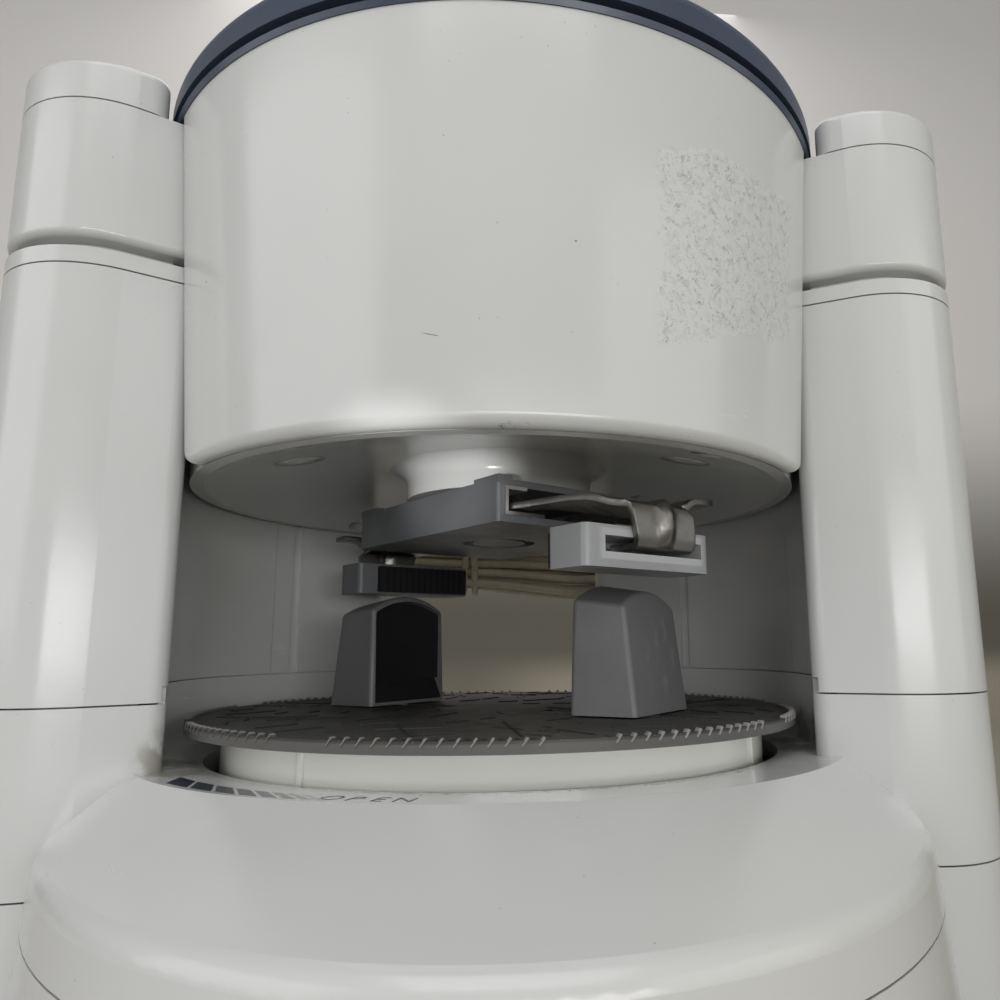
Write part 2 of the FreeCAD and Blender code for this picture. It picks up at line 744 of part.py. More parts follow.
def jar_jaw():
    """Right-hand jaw with its length along +X from the axis."""
    outer = jar_reach + jaw_thickness
    above = jaw_top + 2.0

    def ring(x0, x1, half, z):
        corners = [(x0, -half), (x1, -half * 0.95), (x1, half * 0.95), (x0, half)]
        return Part.makePolygon([vec(x, y, z) for x, y in corners + [corners[0]]])

    body = Part.makeLoft([ring(jar_reach, outer, jaw_half_width, jaw_foot),
                          ring(jar_reach + 0.8, outer - jaw_lean,
                               jaw_half_width - jaw_taper, above)], True)
    body = body.common(jaw_crown(0.0)).removeSplitter()
    soft_edges = [e for e in body.Edges if e.BoundBox.ZLength > 15.0
                  or e.BoundBox.ZMin > jaw_top - 9.0]
    body = body.makeFillet(jaw_rounding, soft_edges)
    body = body.cut(pad_pocket())
    neck = box(neck_start, neck_start + jaw_neck_length, -jaw_neck_half_width,
               jaw_neck_half_width, rack_bottom + rack_height - 1.0, jaw_foot + 0.5)
    return united([body, neck, jar_rack()])


def jar_pad():
    """Rubber pad with a hollow face above a flared lower lip."""
    face_radius = 60.0
    lip_top = jaw_foot + 5.5
    edge_x = jar_reach + pad_recess
    centre = edge_x - math.sqrt(face_radius ** 2 - pad_half_width ** 2)
    pad = pad_pocket().common(box(jar_reach + 0.3, 60.0, -30.0, 30.0, 0.0, 120.0))
    pad = pad.cut(cylinder(face_radius, lip_top, 120.0, centre))
    flare = side_profile([(jar_reach - 5.0, jaw_foot + 1.4), (jar_reach + 0.3, jaw_foot + 1.4),
                          (edge_x + 1.2, lip_top + 1.0), (jar_reach - 5.0, lip_top + 1.0)],
                         -30.0, 30.0)
    return pad.cut(flare)


def jar_rack():
    """Rack of the right-hand jaw; the pinion lies on its -Y side."""
    top = rack_bottom + rack_height
    body_y = jar_pitch_radius + 1.3
    back_y = body_y + 4.7
    start = -(jaw_travel_out + 6.5)
    end = neck_start + jaw_neck_length
    bar = box(start, end, body_y, back_y, rack_bottom, top)
    foot = box(neck_start, end, -jaw_neck_half_width, back_y, rack_bottom, top)
    teeth = rack_teeth(start, jaw_travel_in + 7.0, jar_pitch_radius, -1, jar_pinion_module,
                       rack_bottom, top)
    return united([bar.multiFuse(teeth), foot])


# ---- head ------------------------------------------------------------------------
def shell_corner(side):
    """Sharp lower corner that is taken off the front shell's edge at one side."""
    size = front_corner_rounding
    block = box(head_lower_radius - 10.0, head_lower_radius + 10.0, -size, 1.0,
                head_bottom - 1.0, head_bottom + size)
    round_end = Part.makeCylinder(size, 40.0, vec(head_lower_radius - 20.0, -size,
                                                  head_bottom + size), x_axis)
    nib = block.cut(round_end)
    if side < 0:
        nib = nib.mirror(origin, y_axis)
    return turned(nib, side * front_shell_half_angle - 90.0)


def make_head():
    wall = shell_wall
    slope = (head_upper_radius - head_lower_radius) / front_shell_height
    corner = head_edge_rounding
    start = head_bottom + corner
    outline = [(head_lower_radius - wall, head_bottom), (head_lower_radius - corner, head_bottom),
               (head_lower_radius - 0.29 * corner + 0.1, head_bottom + 0.29 * corner, True),
               (head_lower_radius + slope * corner, start),
               (head_upper_radius, head_top), (head_upper_radius - wall, head_top)]
    shell = revolved(outline, 2.0 * front_shell_half_angle, -front_shell_half_angle)
    for side in (-1, 1):
        shell = shell.cut(shell_corner(side))
    save("head_front_shell", shell)

    drum_inner = drum_outer_radius - drum_wall
    drum_bottom = head_bottom + underside_rim_width
    drum = tube(drum_inner, drum_outer_radius, drum_bottom, head_top)
    drum = drum.fuse(cylinder(top_plate_radius, head_top, top_plate_top))
    for side in (-1, 1):
        heading = side * guide_groove_azimuth
        key = box(-0.9, 0.9, -(column_inner_radius + guide_groove_depth - 0.4),
                  -(drum_outer_radius - 0.5), head_bottom + 6.0, head_top - 42.0)
        key = turned(key, heading)
        drum = drum.fuse(key)
    save("head_drum", drum.removeSplitter())

    rim_inner = drum_outer_radius - underside_rim_width
    ceiling = head_bottom + underside_rise
    flare = boss_radius + boss_flare
    under = revolved([(boss_bore_radius, boss_bottom), (boss_radius, boss_bottom),
                      (boss_radius, ceiling - boss_flare),
                      (boss_radius + 0.3 * boss_flare, ceiling - 0.3 * boss_flare, True),
                      (flare, ceiling),
                      ((flare + rim_inner) / 2.0, head_bottom + 0.66 * underside_rise, True),
                      (rim_inner, head_bottom), (drum_outer_radius, head_bottom),
                      (drum_outer_radius, drum_bottom), (drum_inner, drum_bottom),
                      (drum_inner - underside_slope, underside_top),
                      (boss_bore_radius, underside_top)])
    screws = []
    for azimuth in well_screw_azimuths:
        spot = polar(well_screw_circle, azimuth)
        under = under.cut(cylinder(well_screw_radius, head_bottom - 5.0, head_bottom + 3.4,
                                   spot.x, spot.y))
        under = under.cut(cylinder(screw_shank_radius, head_bottom, underside_top + 5.0,
                                   spot.x, spot.y))
        top = cylinder(screw_head_radius, head_bottom + 2.4, head_bottom + 3.4, spot.x, spot.y)
        rod = cylinder(screw_shank_radius, head_bottom + 3.4, head_bottom + 6.0, spot.x, spot.y)
        screws.append(top.fuse(rod))
    save("head_underside", under)
    save("underside_screws", Part.makeCompound(screws))

    rim_outer = button_radius - 0.2
    groove_wall = button_inner_radius - 0.4
    rim = revolved([(top_plate_radius, head_top), (head_upper_radius + 0.3, head_top),
                    (rim_outer, head_top + rim_height), (groove_wall, head_top + rim_height),
                    (groove_wall, button_bottom + 1.0),
                    (top_plate_radius, button_bottom + 1.0)])
    save("rim_band", rim)
    save("power_switch", power_switch())
    save("top_button", top_button())
    save("button_spring", button_spring())


def power_switch():
    body_top = top_plate_top + switch_height
    body = box(-switch_width / 2.0, switch_width / 2.0, -switch_depth / 2.0,
               switch_depth / 2.0, top_plate_top, body_top)
    plunger = cylinder(1.5, body_top, body_top + 1.0)
    return united([body, plunger])


def crown_arc(radius, z, crown):
    """Middle of a spherical dome's arc between (radius, z) and its crown on the axis."""
    height = crown - z
    sphere = (radius ** 2 + height ** 2) / (2.0 * height)
    half = math.asin(radius / sphere) / 2.0
    return (sphere * math.sin(half), crown - sphere + sphere * math.cos(half), True)


def top_button():
    low = button_bottom
    shoulder_z = low + button_wall_height
    crown = low + button_dome_height
    edge = (button_radius - 5.6, shoulder_z + 5.0)
    under_edge = (button_radius - 7.2, shoulder_z + 2.6)
    dome = revolved([(button_inner_radius, low), (button_radius, low),
                     (button_radius - 0.1, shoulder_z),
                     (button_radius - 1.8, shoulder_z + 3.4, True), edge,
                     crown_arc(edge[0], edge[1], crown), (0.0, crown),
                     (0.0, crown - button_wall),
                     crown_arc(under_edge[0], under_edge[1], crown - button_wall), under_edge,
                     (button_inner_radius, shoulder_z)])
    post = cylinder(5.0, top_plate_top + 7.0 + button_travel + 0.2, crown - button_wall + 0.5)
    return united([dome, post])


def button_spring():
    low = top_plate_top + spring_wire_radius
    high = button_bottom + button_dome_height - button_wall - spring_wire_radius - 0.6
    pitch = (high - low) / spring_turns
    path = Part.Wire(Part.makeHelix(pitch, high - low, spring_radius))
    section = Part.Wire(Part.makeCircle(spring_wire_radius, vec(spring_radius, 0, 0), y_axis))
    coil = path.makePipeShell([section], True, True)
    coil.translate(vec(0, 0, low))
    return coil


# ---- gear train ------------------------------------------------------------------
gear_low = underside_top + 3.0
gear_high = gear_low + gear_width
large_low = gear_high + 1.5
large_high = large_low + large_gear_width
chassis_low = large_high + 3.5
chassis_high = chassis_low + 2.5
idler_distance = (output_teeth + idler_small_teeth) * output_module / 2.0
motor_distance = (idler_large_teeth + motor_teeth) * motor_module / 2.0
motor_heading = 198.0         # from the idler to the motor, from +X
motor_x = motor_distance * math.cos(math.radians(motor_heading))
motor_y = idler_distance + motor_distance * math.sin(math.radians(motor_heading))


def make_gear_train():
    output = gear(output_teeth, output_module, gear_low, gear_high, tooth_heading=90.0)
    output = output.cut(cylinder(spindle_radius, 0.0, 300.0))
    rim_radius = (output_teeth / 2.0 - 3.5) * output_module
    for i in range(5):
        hole = cylinder(7.0, gear_low - 1.0, gear_high + 1.0,
                        (rim_radius + spindle_radius) / 2.0)
        output = output.cut(turned(hole, 18.0 + i * 72.0))
    save("output_gear", output)

    half_small = 180.0 / idler_small_teeth
    small = gear(idler_small_teeth, output_module, gear_low, large_low + 0.2, 0.0,
                 idler_distance, tooth_heading=90.0 + half_small)
    large = gear(idler_large_teeth, motor_module, large_low, large_high, 0.0,
                 idler_distance, tooth_heading=motor_heading)
    pin_bore = cylinder(3.0 + bearing_clearance, 0.0, 300.0, 0.0, idler_distance)
    save("idler_gear", united([small, large]).cut(pin_bore))

    half_motor = 180.0 / motor_teeth
    pinion = gear(motor_teeth, motor_module, large_low - 0.5, large_high + 0.5, motor_x, motor_y,
                  tooth_heading=motor_heading + 180.0 + half_motor)
    shaft = cylinder(1.5, large_high, chassis_high + 1.0, motor_x, motor_y)
    save("motor_pinion", united([pinion, shaft]))

    can = cylinder(drive_motor_radius, chassis_high, chassis_high + drive_motor_height,
                   motor_x, motor_y)
    can = can.makeFillet(2.5, level_edges(can, chassis_high + drive_motor_height))
    vent = [turned(box(motor_x + drive_motor_radius - 1.0, motor_x + drive_motor_radius + 1.0,
                       motor_y - 3.0, motor_y + 3.0, chassis_high + 8.0, chassis_high + 24.0),
                   60.0 * i, motor_x, motor_y) for i in range(6)]
    can = can.cut(Part.makeCompound(vent))
    can = can.cut(cylinder(1.6, chassis_high - 1.0, chassis_high + 1.5, motor_x, motor_y))
    save("drive_motor", can)

    chassis = cylinder(drum_outer_radius - drum_wall, chassis_low, chassis_high)
    chassis = chassis.cut(cylinder(6.0, 0.0, 300.0, motor_x, motor_y))
    chassis = chassis.cut(cylinder(22.0, 0.0, 300.0, 38.0, -20.0))
    chassis = chassis.cut(cylinder(20.0, 0.0, 300.0, -30.0, -34.0))
    pin = cylinder(3.0, underside_top, chassis_low + 1.0, 0.0, idler_distance)
    save("gear_chassis", united([chassis, pin]))

    save("spindle_bearing", tube(spindle_radius + bearing_clearance, boss_bore_radius,
                                 underside_top - 6.0, underside_top))
    spindle = cylinder(spindle_radius, gripper_top, gear_high + 1.0)
    flange = tube(spindle_radius - 0.1, spindle_radius + 4.0, underside_top + 0.3, gear_low)
    save("gripper_spindle", united([spindle, flange]))


# ---- lid gripper -----------------------------------------------------------------
strip_low = gripper_bottom + gripper_wall + 1.0
plate_low = strip_low + 2.8
lid_pitch_radius = lid_pinion_module * lid_pinion_teeth / 2.0
holder_outer = lid_reach + lid_pad_thickness + holder_thickness
holder_top = gripper_bottom - holder_drop
holder_bottom = holder_top - holder_height
channel_half = gripper_half_width - gripper_wall - 0.1


def make_gripper():
    length, half = gripper_half_length, gripper_half_width
    body = box(-length, length, -half, half, gripper_bottom, gripper_top)
    body = body.makeFillet(0.8, [e for e in body.Edges if e.BoundBox.XLength < 0.01
                                 and e.BoundBox.YLength < 0.01])
    blocks = []
    for sx in (-1, 1):
        for sy in (-1, 1):
            x0, x1 = sorted((sx * (length - 9.5), sx * length))
            y0, y1 = sorted((sy * (half - 4.0), sy * half))
            blocks.append(box(x0, x1, y0, y1, gripper_top - 1.0, gripper_top + 0.9))
    body = united([body] + blocks)
    body = body.cut(box(-length - 1.0, length + 1.0, -channel_half, channel_half,
                        gripper_bottom + gripper_wall, gripper_top - gripper_wall))
    body = body.cut(tube(7.0, 9.6, gripper_bottom - 1.0, gripper_bottom + 0.9))
    axle = cylinder(3.0, gripper_bottom + 0.5, strip_low + arm_thickness + 0.6)
    save("gripper_housing", turned(united([body, axle]), gripper_turn))

    liner_length = length + 0.6
    low = gripper_bottom + gripper_wall
    high = gripper_top - gripper_wall
    t = liner_thickness
    outline = [(channel_half, low), (channel_half, high), (channel_half - 6.0, high),
               (channel_half - 6.0, high - t), (channel_half - t, high - t),
               (channel_half - t, low + t), (channel_half - 11.0, low + t),
               (channel_half - 11.0, low)]
    face = polygon([(-liner_length, y, z) for y, z in outline])
    liner = face.extrude(vec(2.0 * liner_length, 0, 0))
    pair = Part.makeCompound([turned(liner, gripper_turn), turned(liner, gripper_turn + 180.0)])
    save("gripper_liners", pair)

    pinion = gear(lid_pinion_teeth, lid_pinion_module, strip_low, strip_low + arm_thickness,
                  tooth_heading=90.0)
    pinion = pinion.cut(cylinder(3.0 + bearing_clearance, 0.0, 300.0))
    save("lid_pinion", turned(pinion, gripper_turn))

    for side, heading in (("front", gripper_turn), ("rear", gripper_turn + 180.0)):
        save("grip_arm_" + side, turned(grip_arm(), heading))
        save("pad_holder_" + side, turned(pad_holder(), heading))
        save("lid_pad_" + side, turned(lid_pad(), heading))


def grip_arm():
    """Stamped steel arm of the front holder, sliding along +X."""
    t = arm_thickness
    start = -(lid_travel_out + 5.0)
    wall_in = holder_outer + 0.3
    wall_out = wall_in + t
    lip_low = holder_bottom + 4.0
    ramp = 22.0
    side = side_profile([(start, strip_low), (ramp, strip_low), (ramp + 5.0, plate_low),
                         (wall_in, plate_low), (wall_in, lip_low + t),
                         (wall_in - 9.0, lip_low + t), (wall_in - 9.0, lip_low),
                         (wall_out, lip_low), (wall_out, plate_low + t),
                         (ramp + 4.4, plate_low + t), (ramp - 0.6, strip_low + t),
                         (start, strip_low + t)], -30.0, 30.0)
    bends = [e for e in side.Edges if e.BoundBox.YLength > 50.0
             and e.BoundBox.XMin > wall_out - 0.01]
    side = side.makeFillet(t * 0.95, bends)
    edge = -(lid_pitch_radius + 1.3)
    far = -channel_half + liner_thickness + 0.2
    plan = prism([(start, far), (30.0, far), (36.5, far + 0.6), (wall_out - 4.5, hook_near_end),
                  (wall_out + 1.0, hook_near_end), (wall_out + 1.0, hook_far_end),
                  (wall_out - 5.0, hook_far_end),
                  (wall_out - 6.0, 19.5), (wall_out - 13.0, 19.5), (38.0, 20.4),
                  (29.5, 20.4), (29.5, edge), (start, edge)], 0.0, 200.0)
    lip_level = plate_low - 0.6
    plan = plan.cut(box(38.0, 80.0, -30.0, hook_near_end, 0.0, lip_level))
    plan = plan.cut(box(38.0, 80.0, hook_far_end, 30.0, 0.0, lip_level))
    arm = side.common(plan)
    teeth = rack_teeth(start, lid_travel_in + 3.0 - 8.0, -lid_pitch_radius, 1,
                       lid_pinion_module, strip_low, strip_low + t)
    arm = united([arm.multiFuse(teeth)])
    rib = Part.makeCylinder(2.2, 26.0, vec(32.0, 3.2, plate_low + t - 1.2), x_axis)
    rib = rib.common(box(30.0, 60.0, -10.0, 20.0, plate_low + t - 0.2, gripper_top))
    return united([arm, rib.common(box(34.5, wall_out - 3.0, -2.0, 10.0, 0.0, 200.0))])


def pad_holder():
    inner = lid_reach + lid_pad_thickness
    block = box(inner, holder_outer, -holder_half_width, holder_half_width,
                holder_bottom, holder_top)
    uprights = [e for e in block.Edges if e.BoundBox.ZLength > 5.0]
    block = block.makeFillet(1.6, uprights)
    slot_low = holder_bottom + 3.2
    slot = box(holder_outer - 10.2, holder_outer + 1.0, -13.5, 16.2, slot_low, slot_low + 3.4)
    return block.cut(slot)


def lid_pad():
    """Grooved rubber bar that stops short of the holder's ends."""
    pad = box(lid_reach, lid_reach + lid_pad_thickness, -holder_half_width + 1.8,
              lid_pad_end, holder_bottom + 0.5, holder_top - 0.8)
    grooves = []
    for i in range(-7, 6):
        y = i * 2.1
        grooves.append(box(lid_reach - 0.5, lid_reach + 0.4, y - 0.3, y + 0.3, 0.0, 200.0))
    return pad.cut(Part.makeCompound(grooves))


# ---- cord ------------------------------------------------------------------------
gland_x = -rear_gap_half_width
lead_route = [(gland_x + relief_length, cord_exit_depth, cord_exit_height),
              (gland_x + relief_length + 24.0, cord_exit_depth + 6.0, cord_exit_height - 2.0),
              (26.0, 106.0, 128.0),
              (44.0, hank_depth, 113.0)]
tail_route = [(hank_right, hank_depth, hank_top - 14.0),
              (hank_right + 20.0, hank_depth, hank_top - 17.0),
              (hank_right + 34.0, hank_depth + 2.0, hank_top - 34.0),
              (hank_right + 36.0, hank_depth + 3.0, hank_top - 56.0)]


def hank_bottom(x):
    """Height of the folded cord's underside at x."""
    if x < tie_x:
        share = (x - hank_left) / (tie_x - hank_left)
        return hank_top - hank_fall_left - share * (hank_fall_tie - hank_fall_left)
    share = (x - tie_x) / (hank_right - tie_x)
    return hank_top - hank_fall_tie - share * (hank_fall_right - hank_fall_tie)


def cord_tube(name, route, hank):
    """Tube of straight runs joined by tangent arcs, as large as the runs allow."""
    points = [vec(*p) for p in route]
    edges = []
    radii = []
    here = points[0]
    for before, corner, after in zip(points, points[1:], points[2:]):
        back = (before - corner)
        ahead = (after - corner)
        shorter = min(back.Length, ahead.Length)
        back.normalize()
        ahead.normalize()
        turn = math.pi - back.getAngle(ahead)
        radius = 0.45 * shorter / math.tan(turn / 2.0)
        radii.append(radius)
        reach = radius * math.tan(turn / 2.0)
        enter = corner + back * reach
        leave = corner + ahead * reach
        bisector = back + ahead
        bisector.normalize()
        centre = corner + bisector * (radius / math.cos(turn / 2.0))
        middle = centre - bisector * radius
        edges.append(line(here, enter))
        edges.append(arc(enter, middle, leave))
        here = leave
    edges.append(line(here, points[-1]))
    wire = Part.Wire(edges)
    heading = points[1] - points[0]
    section = Part.Wire(Part.makeCircle(cord_radius, points[0], heading))
    solid = wire.makePipeShell([section], True, False)
    share = solid.Volume / (math.pi * cord_radius ** 2 * wire.Length)
    print(name, "radii", [round(r, 1) for r in radii], "length", round(wire.Length, 1),
          "volume share", round(share, 4))
    save(name, solid.cut(hank))
    return solid


def hank_solid(extra=0.0):
    """Outer shape of the folded cord, grown by extra across its length."""
    y = hank_depth - hank_half_thickness - extra
    outline = [(hank_left, hank_bottom(hank_left) - extra), (tie_x, hank_bottom(tie_x) - extra),
               (hank_right, hank_bottom(hank_right) - extra), (hank_right, hank_top + extra),
               (hank_left, hank_top + extra)]
    solid = side_profile(outline, y, y + 2.0 * (hank_half_thickness + extra))
    ends = [e for e in solid.Edges if e.BoundBox.YLength > 1.0
            and min(abs(e.BoundBox.XMin - hank_left), abs(e.BoundBox.XMin - hank_right)) < 0.1]
    solid = solid.makeFillet(hank_half_thickness, ends)
    rims = [e for e in solid.Edges if e.BoundBox.YLength < 0.1]
    return solid.makeFillet(3.5, rims)


def make_cord():
    hank = hank_solid()
    lead = cord_tube("cord_lead", lead_route, hank)
    tail = cord_tube("cord_tail", tail_route, hank)
    flange = Part.makeCylinder(6.0, 3.0, vec(gland_x, cord_exit_depth, cord_exit_height), x_axis)
    taper = Part.makeCone(4.4, cord_radius + 0.6, relief_length,
                          vec(gland_x, cord_exit_depth, cord_exit_height), x_axis)
    save("strain_relief", united([flange, taper, relief_root()]).cut(lead))
    save("cord_hank", hank)
    slab = box(tie_x - tie_half_width, tie_x + tie_half_width, 0.0, 200.0, 0.0, 200.0)
    save("cord_tie", hank_solid(tie_thickness).common(slab).cut(hank))
    end = tail_route[-1]
    body = box(end[0] - 9.0, end[0] + 9.0, end[1] - 5.5, end[1] + 5.5, end[2] - 27.0,
               end[2] - 7.0)
    body = body.makeFillet(3.0, [e for e in body.Edges if e.BoundBox.ZLength > 10.0])
    neck = Part.makeCone(6.0, cord_radius + 0.8, 7.0, vec(end[0], end[1], end[2] - 7.0), z_axis)
    blades = [box(end[0] + s * 6.35 - 0.8, end[0] + s * 6.35 + 0.8, end[1] - 3.2, end[1] + 3.2,
                  end[2] - 44.0, end[2] - 26.0) for s in (-1, 1)]
    save("plug", united([body, neck] + blades).cut(tail))
    save("cord_hooks", Part.makeCompound([cord_hook(-1), cord_hook(1)]))


def cord_hook(side):
    """Cleat on a column's back that carries the folded cord."""
    x0, x1 = sorted((side * hook_half_gap, side * (hook_half_gap + hook_width)))
    back = math.sqrt(column_outer_radius ** 2 - max(abs(x0), abs(x1)) ** 2) - 2.0
    lip = hank_depth + hank_half_thickness + 0.6
    level = min(hank_bottom(x0), hank_bottom(x1)) - 0.1
    points = [(back, level - 6.0), (lip + 2.2, level - 3.2), (lip + 2.2, level + 7.0),
              (lip, level + 7.0), (lip, level), (back, level)]
    face = polygon([(x0, y, z) for y, z in points])
    arm = face.extrude(vec(x1 - x0, 0, 0))
    return arm.cut(column_block(0.0, 0.0, column_top)).cut(
        mirrored(column_block(0.0, 0.0, column_top)))


os.makedirs("parts", exist_ok=True)
make_columns()
make_lift_drive()
make_base()
make_turntable()
make_head()
make_gear_train()
make_gripper()
make_cord()
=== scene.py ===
import math

import bmesh
import bpy
from mathutils import Matrix, Vector


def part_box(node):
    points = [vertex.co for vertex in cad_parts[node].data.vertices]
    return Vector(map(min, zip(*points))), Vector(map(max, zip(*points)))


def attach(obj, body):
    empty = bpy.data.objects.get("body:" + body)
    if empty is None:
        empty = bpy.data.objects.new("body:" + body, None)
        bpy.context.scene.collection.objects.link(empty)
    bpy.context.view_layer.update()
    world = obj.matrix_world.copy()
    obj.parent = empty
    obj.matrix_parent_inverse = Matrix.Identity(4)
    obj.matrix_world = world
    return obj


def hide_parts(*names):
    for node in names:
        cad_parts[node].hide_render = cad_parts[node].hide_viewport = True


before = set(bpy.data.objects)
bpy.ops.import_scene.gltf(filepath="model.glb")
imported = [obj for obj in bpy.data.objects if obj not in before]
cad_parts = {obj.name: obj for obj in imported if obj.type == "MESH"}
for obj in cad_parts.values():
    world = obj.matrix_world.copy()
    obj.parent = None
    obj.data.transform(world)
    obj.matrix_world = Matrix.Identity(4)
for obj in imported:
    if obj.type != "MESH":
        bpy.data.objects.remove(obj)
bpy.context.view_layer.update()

bl_info = {
    "name": "Jar Opener Finish",
    "version": (1, 0, 0),
    "blender": (4, 5, 0),
    "location": "3D View > Sidebar > Jar Opener",
    "description": "Dresses the electric jar opener: covers, turntable, jaws, gripper, cord and stage",
    "category": "Object",
}

# The frame is in metres: +X right, -Y towards the user, the counter at z = 0 and the
# turntable's axis on the Z axis.  Azimuths are in degrees from the front towards +X.
MM = 0.001


# ---- sizes read from the frame ------------------------------------------------------
MAT_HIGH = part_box("turntable_mat")[1]
MAT_TOP = MAT_HIGH.z
MAT_RADIUS = MAT_HIGH.x
HANK_LOW, HANK_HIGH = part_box("cord_hank")
TIE_LOW, TIE_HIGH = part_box("cord_tie")
TIE_X = (TIE_LOW.x + TIE_HIGH.x) / 2.0


# ---- properties ---------------------------------------------------------------------
def colour_property(name, description, default):
    return bpy.props.FloatVectorProperty(name=name, description=description, default=default,
                                         subtype="COLOR", size=3, min=0.0, max=1.0)


def length_property(name, description, default):
    return bpy.props.FloatProperty(name=name, description=description, default=default,
                                   unit="LENGTH", subtype="DISTANCE", precision=5, min=0.0)


class JarOpenerColours(bpy.types.PropertyGroup):
    """Colours of the moulded, rubber and metal parts"""
    shell: colour_property("Covers", "Glossy moulded white", (0.60, 0.605, 0.595))
    inner: colour_property("Inner walls", "White of the drum and slides", (0.56, 0.56, 0.545))
    cap: colour_property("Top cap", "Satin slate blue", (0.052, 0.068, 0.105))
    mat: colour_property("Turntable mat", "Dark grey-brown soft-touch", (0.040, 0.0385, 0.033))
    jaw: colour_property("Jar jaws", "Dark grey soft-touch", (0.150, 0.150, 0.152))
    rubber: colour_property("Rubber", "Black rubber", (0.010, 0.010, 0.011))
    holder: colour_property("Pad holders", "Light grey", (0.350, 0.356, 0.368))
    gripper: colour_property("Gripper housing", "Mid grey", (0.142, 0.148, 0.158))
    steel: colour_property("Steel", "Nickel-plated stampings", (0.27, 0.262, 0.25))
    cord: colour_property("Cord", "Aged vinyl", (0.42, 0.375, 0.265))
    print_ink: colour_property("Print", "Ink of the bars and the word", (0.014, 0.022, 0.036))


class JarOpenerSizes(bpy.types.PropertyGroup):
    """Sizes of the pieces that the dressing adds"""
    rib_height: length_property("Mat rib height", "Ribs above the mat", 0.00025)
    rib_width: length_property("Mat rib width", "Width of one rib", 0.0007)
    tooth_length: length_property("Rim tooth length", "Slanted fins at the mat's rim", 0.0030)
    tooth_groups: bpy.props.IntProperty(name="Rim tooth groups", default=9, min=1, max=24,
                                        description="Groups of fins round the mat's rim")
    teeth: bpy.props.IntProperty(name="Teeth in a group", description="Fins in one group",
                                 default=14, min=2, max=40)
    strand: length_property("Cord diameter", "Thickness of the cord", 0.0033)
    letter_height: length_property("Letter height", "Height of the word on the ledge", 0.0054)
    print_thickness: length_property("Print thickness", "Ink above the ledge", 0.00004)


class JarOpenerStage(bpy.types.PropertyGroup):
    """Camera, lamps and backdrop"""
    lens: bpy.props.FloatProperty(name="Focal length", description="Camera lens", default=29.05,
                                  unit="CAMERA", min=10.0, max=200.0)
    front_power: bpy.props.FloatProperty(name="Front lamp", description="Power of the lamp ahead",
                                         default=4.6, unit="POWER", min=0.0)
    spot_power: bpy.props.FloatProperty(name="Boss lamp", default=5.5, unit="POWER", min=0.0,
                                        description="Power of the narrow lamp on the boss")
    key_power: bpy.props.FloatProperty(name="Key lamp", description="Power of the lamp above",
                                       default=5.2, unit="POWER", min=0.0)
    side_power: bpy.props.FloatProperty(name="Side lamps", description="Power of each side lamp",
                                        default=2.2, unit="POWER", min=0.0)
    floor: colour_property("Floor", "Plain floor", (0.52, 0.50, 0.48))
    backdrop: colour_property("Backdrop", "Plain backdrop", (0.76, 0.738, 0.715))
    # Colour of the painted shade on the floor near the backdrop and at the backdrop's foot.
    backdrop_painted_shade: colour_property("Backdrop foot", "Backdrop near the floor", (0.105, 0.096, 0.072))


def colours():
    return bpy.context.scene.jar_opener_colours


def sizes():
    return bpy.context.scene.jar_opener_sizes


def stage_values():
    return bpy.context.scene.jar_opener_stage


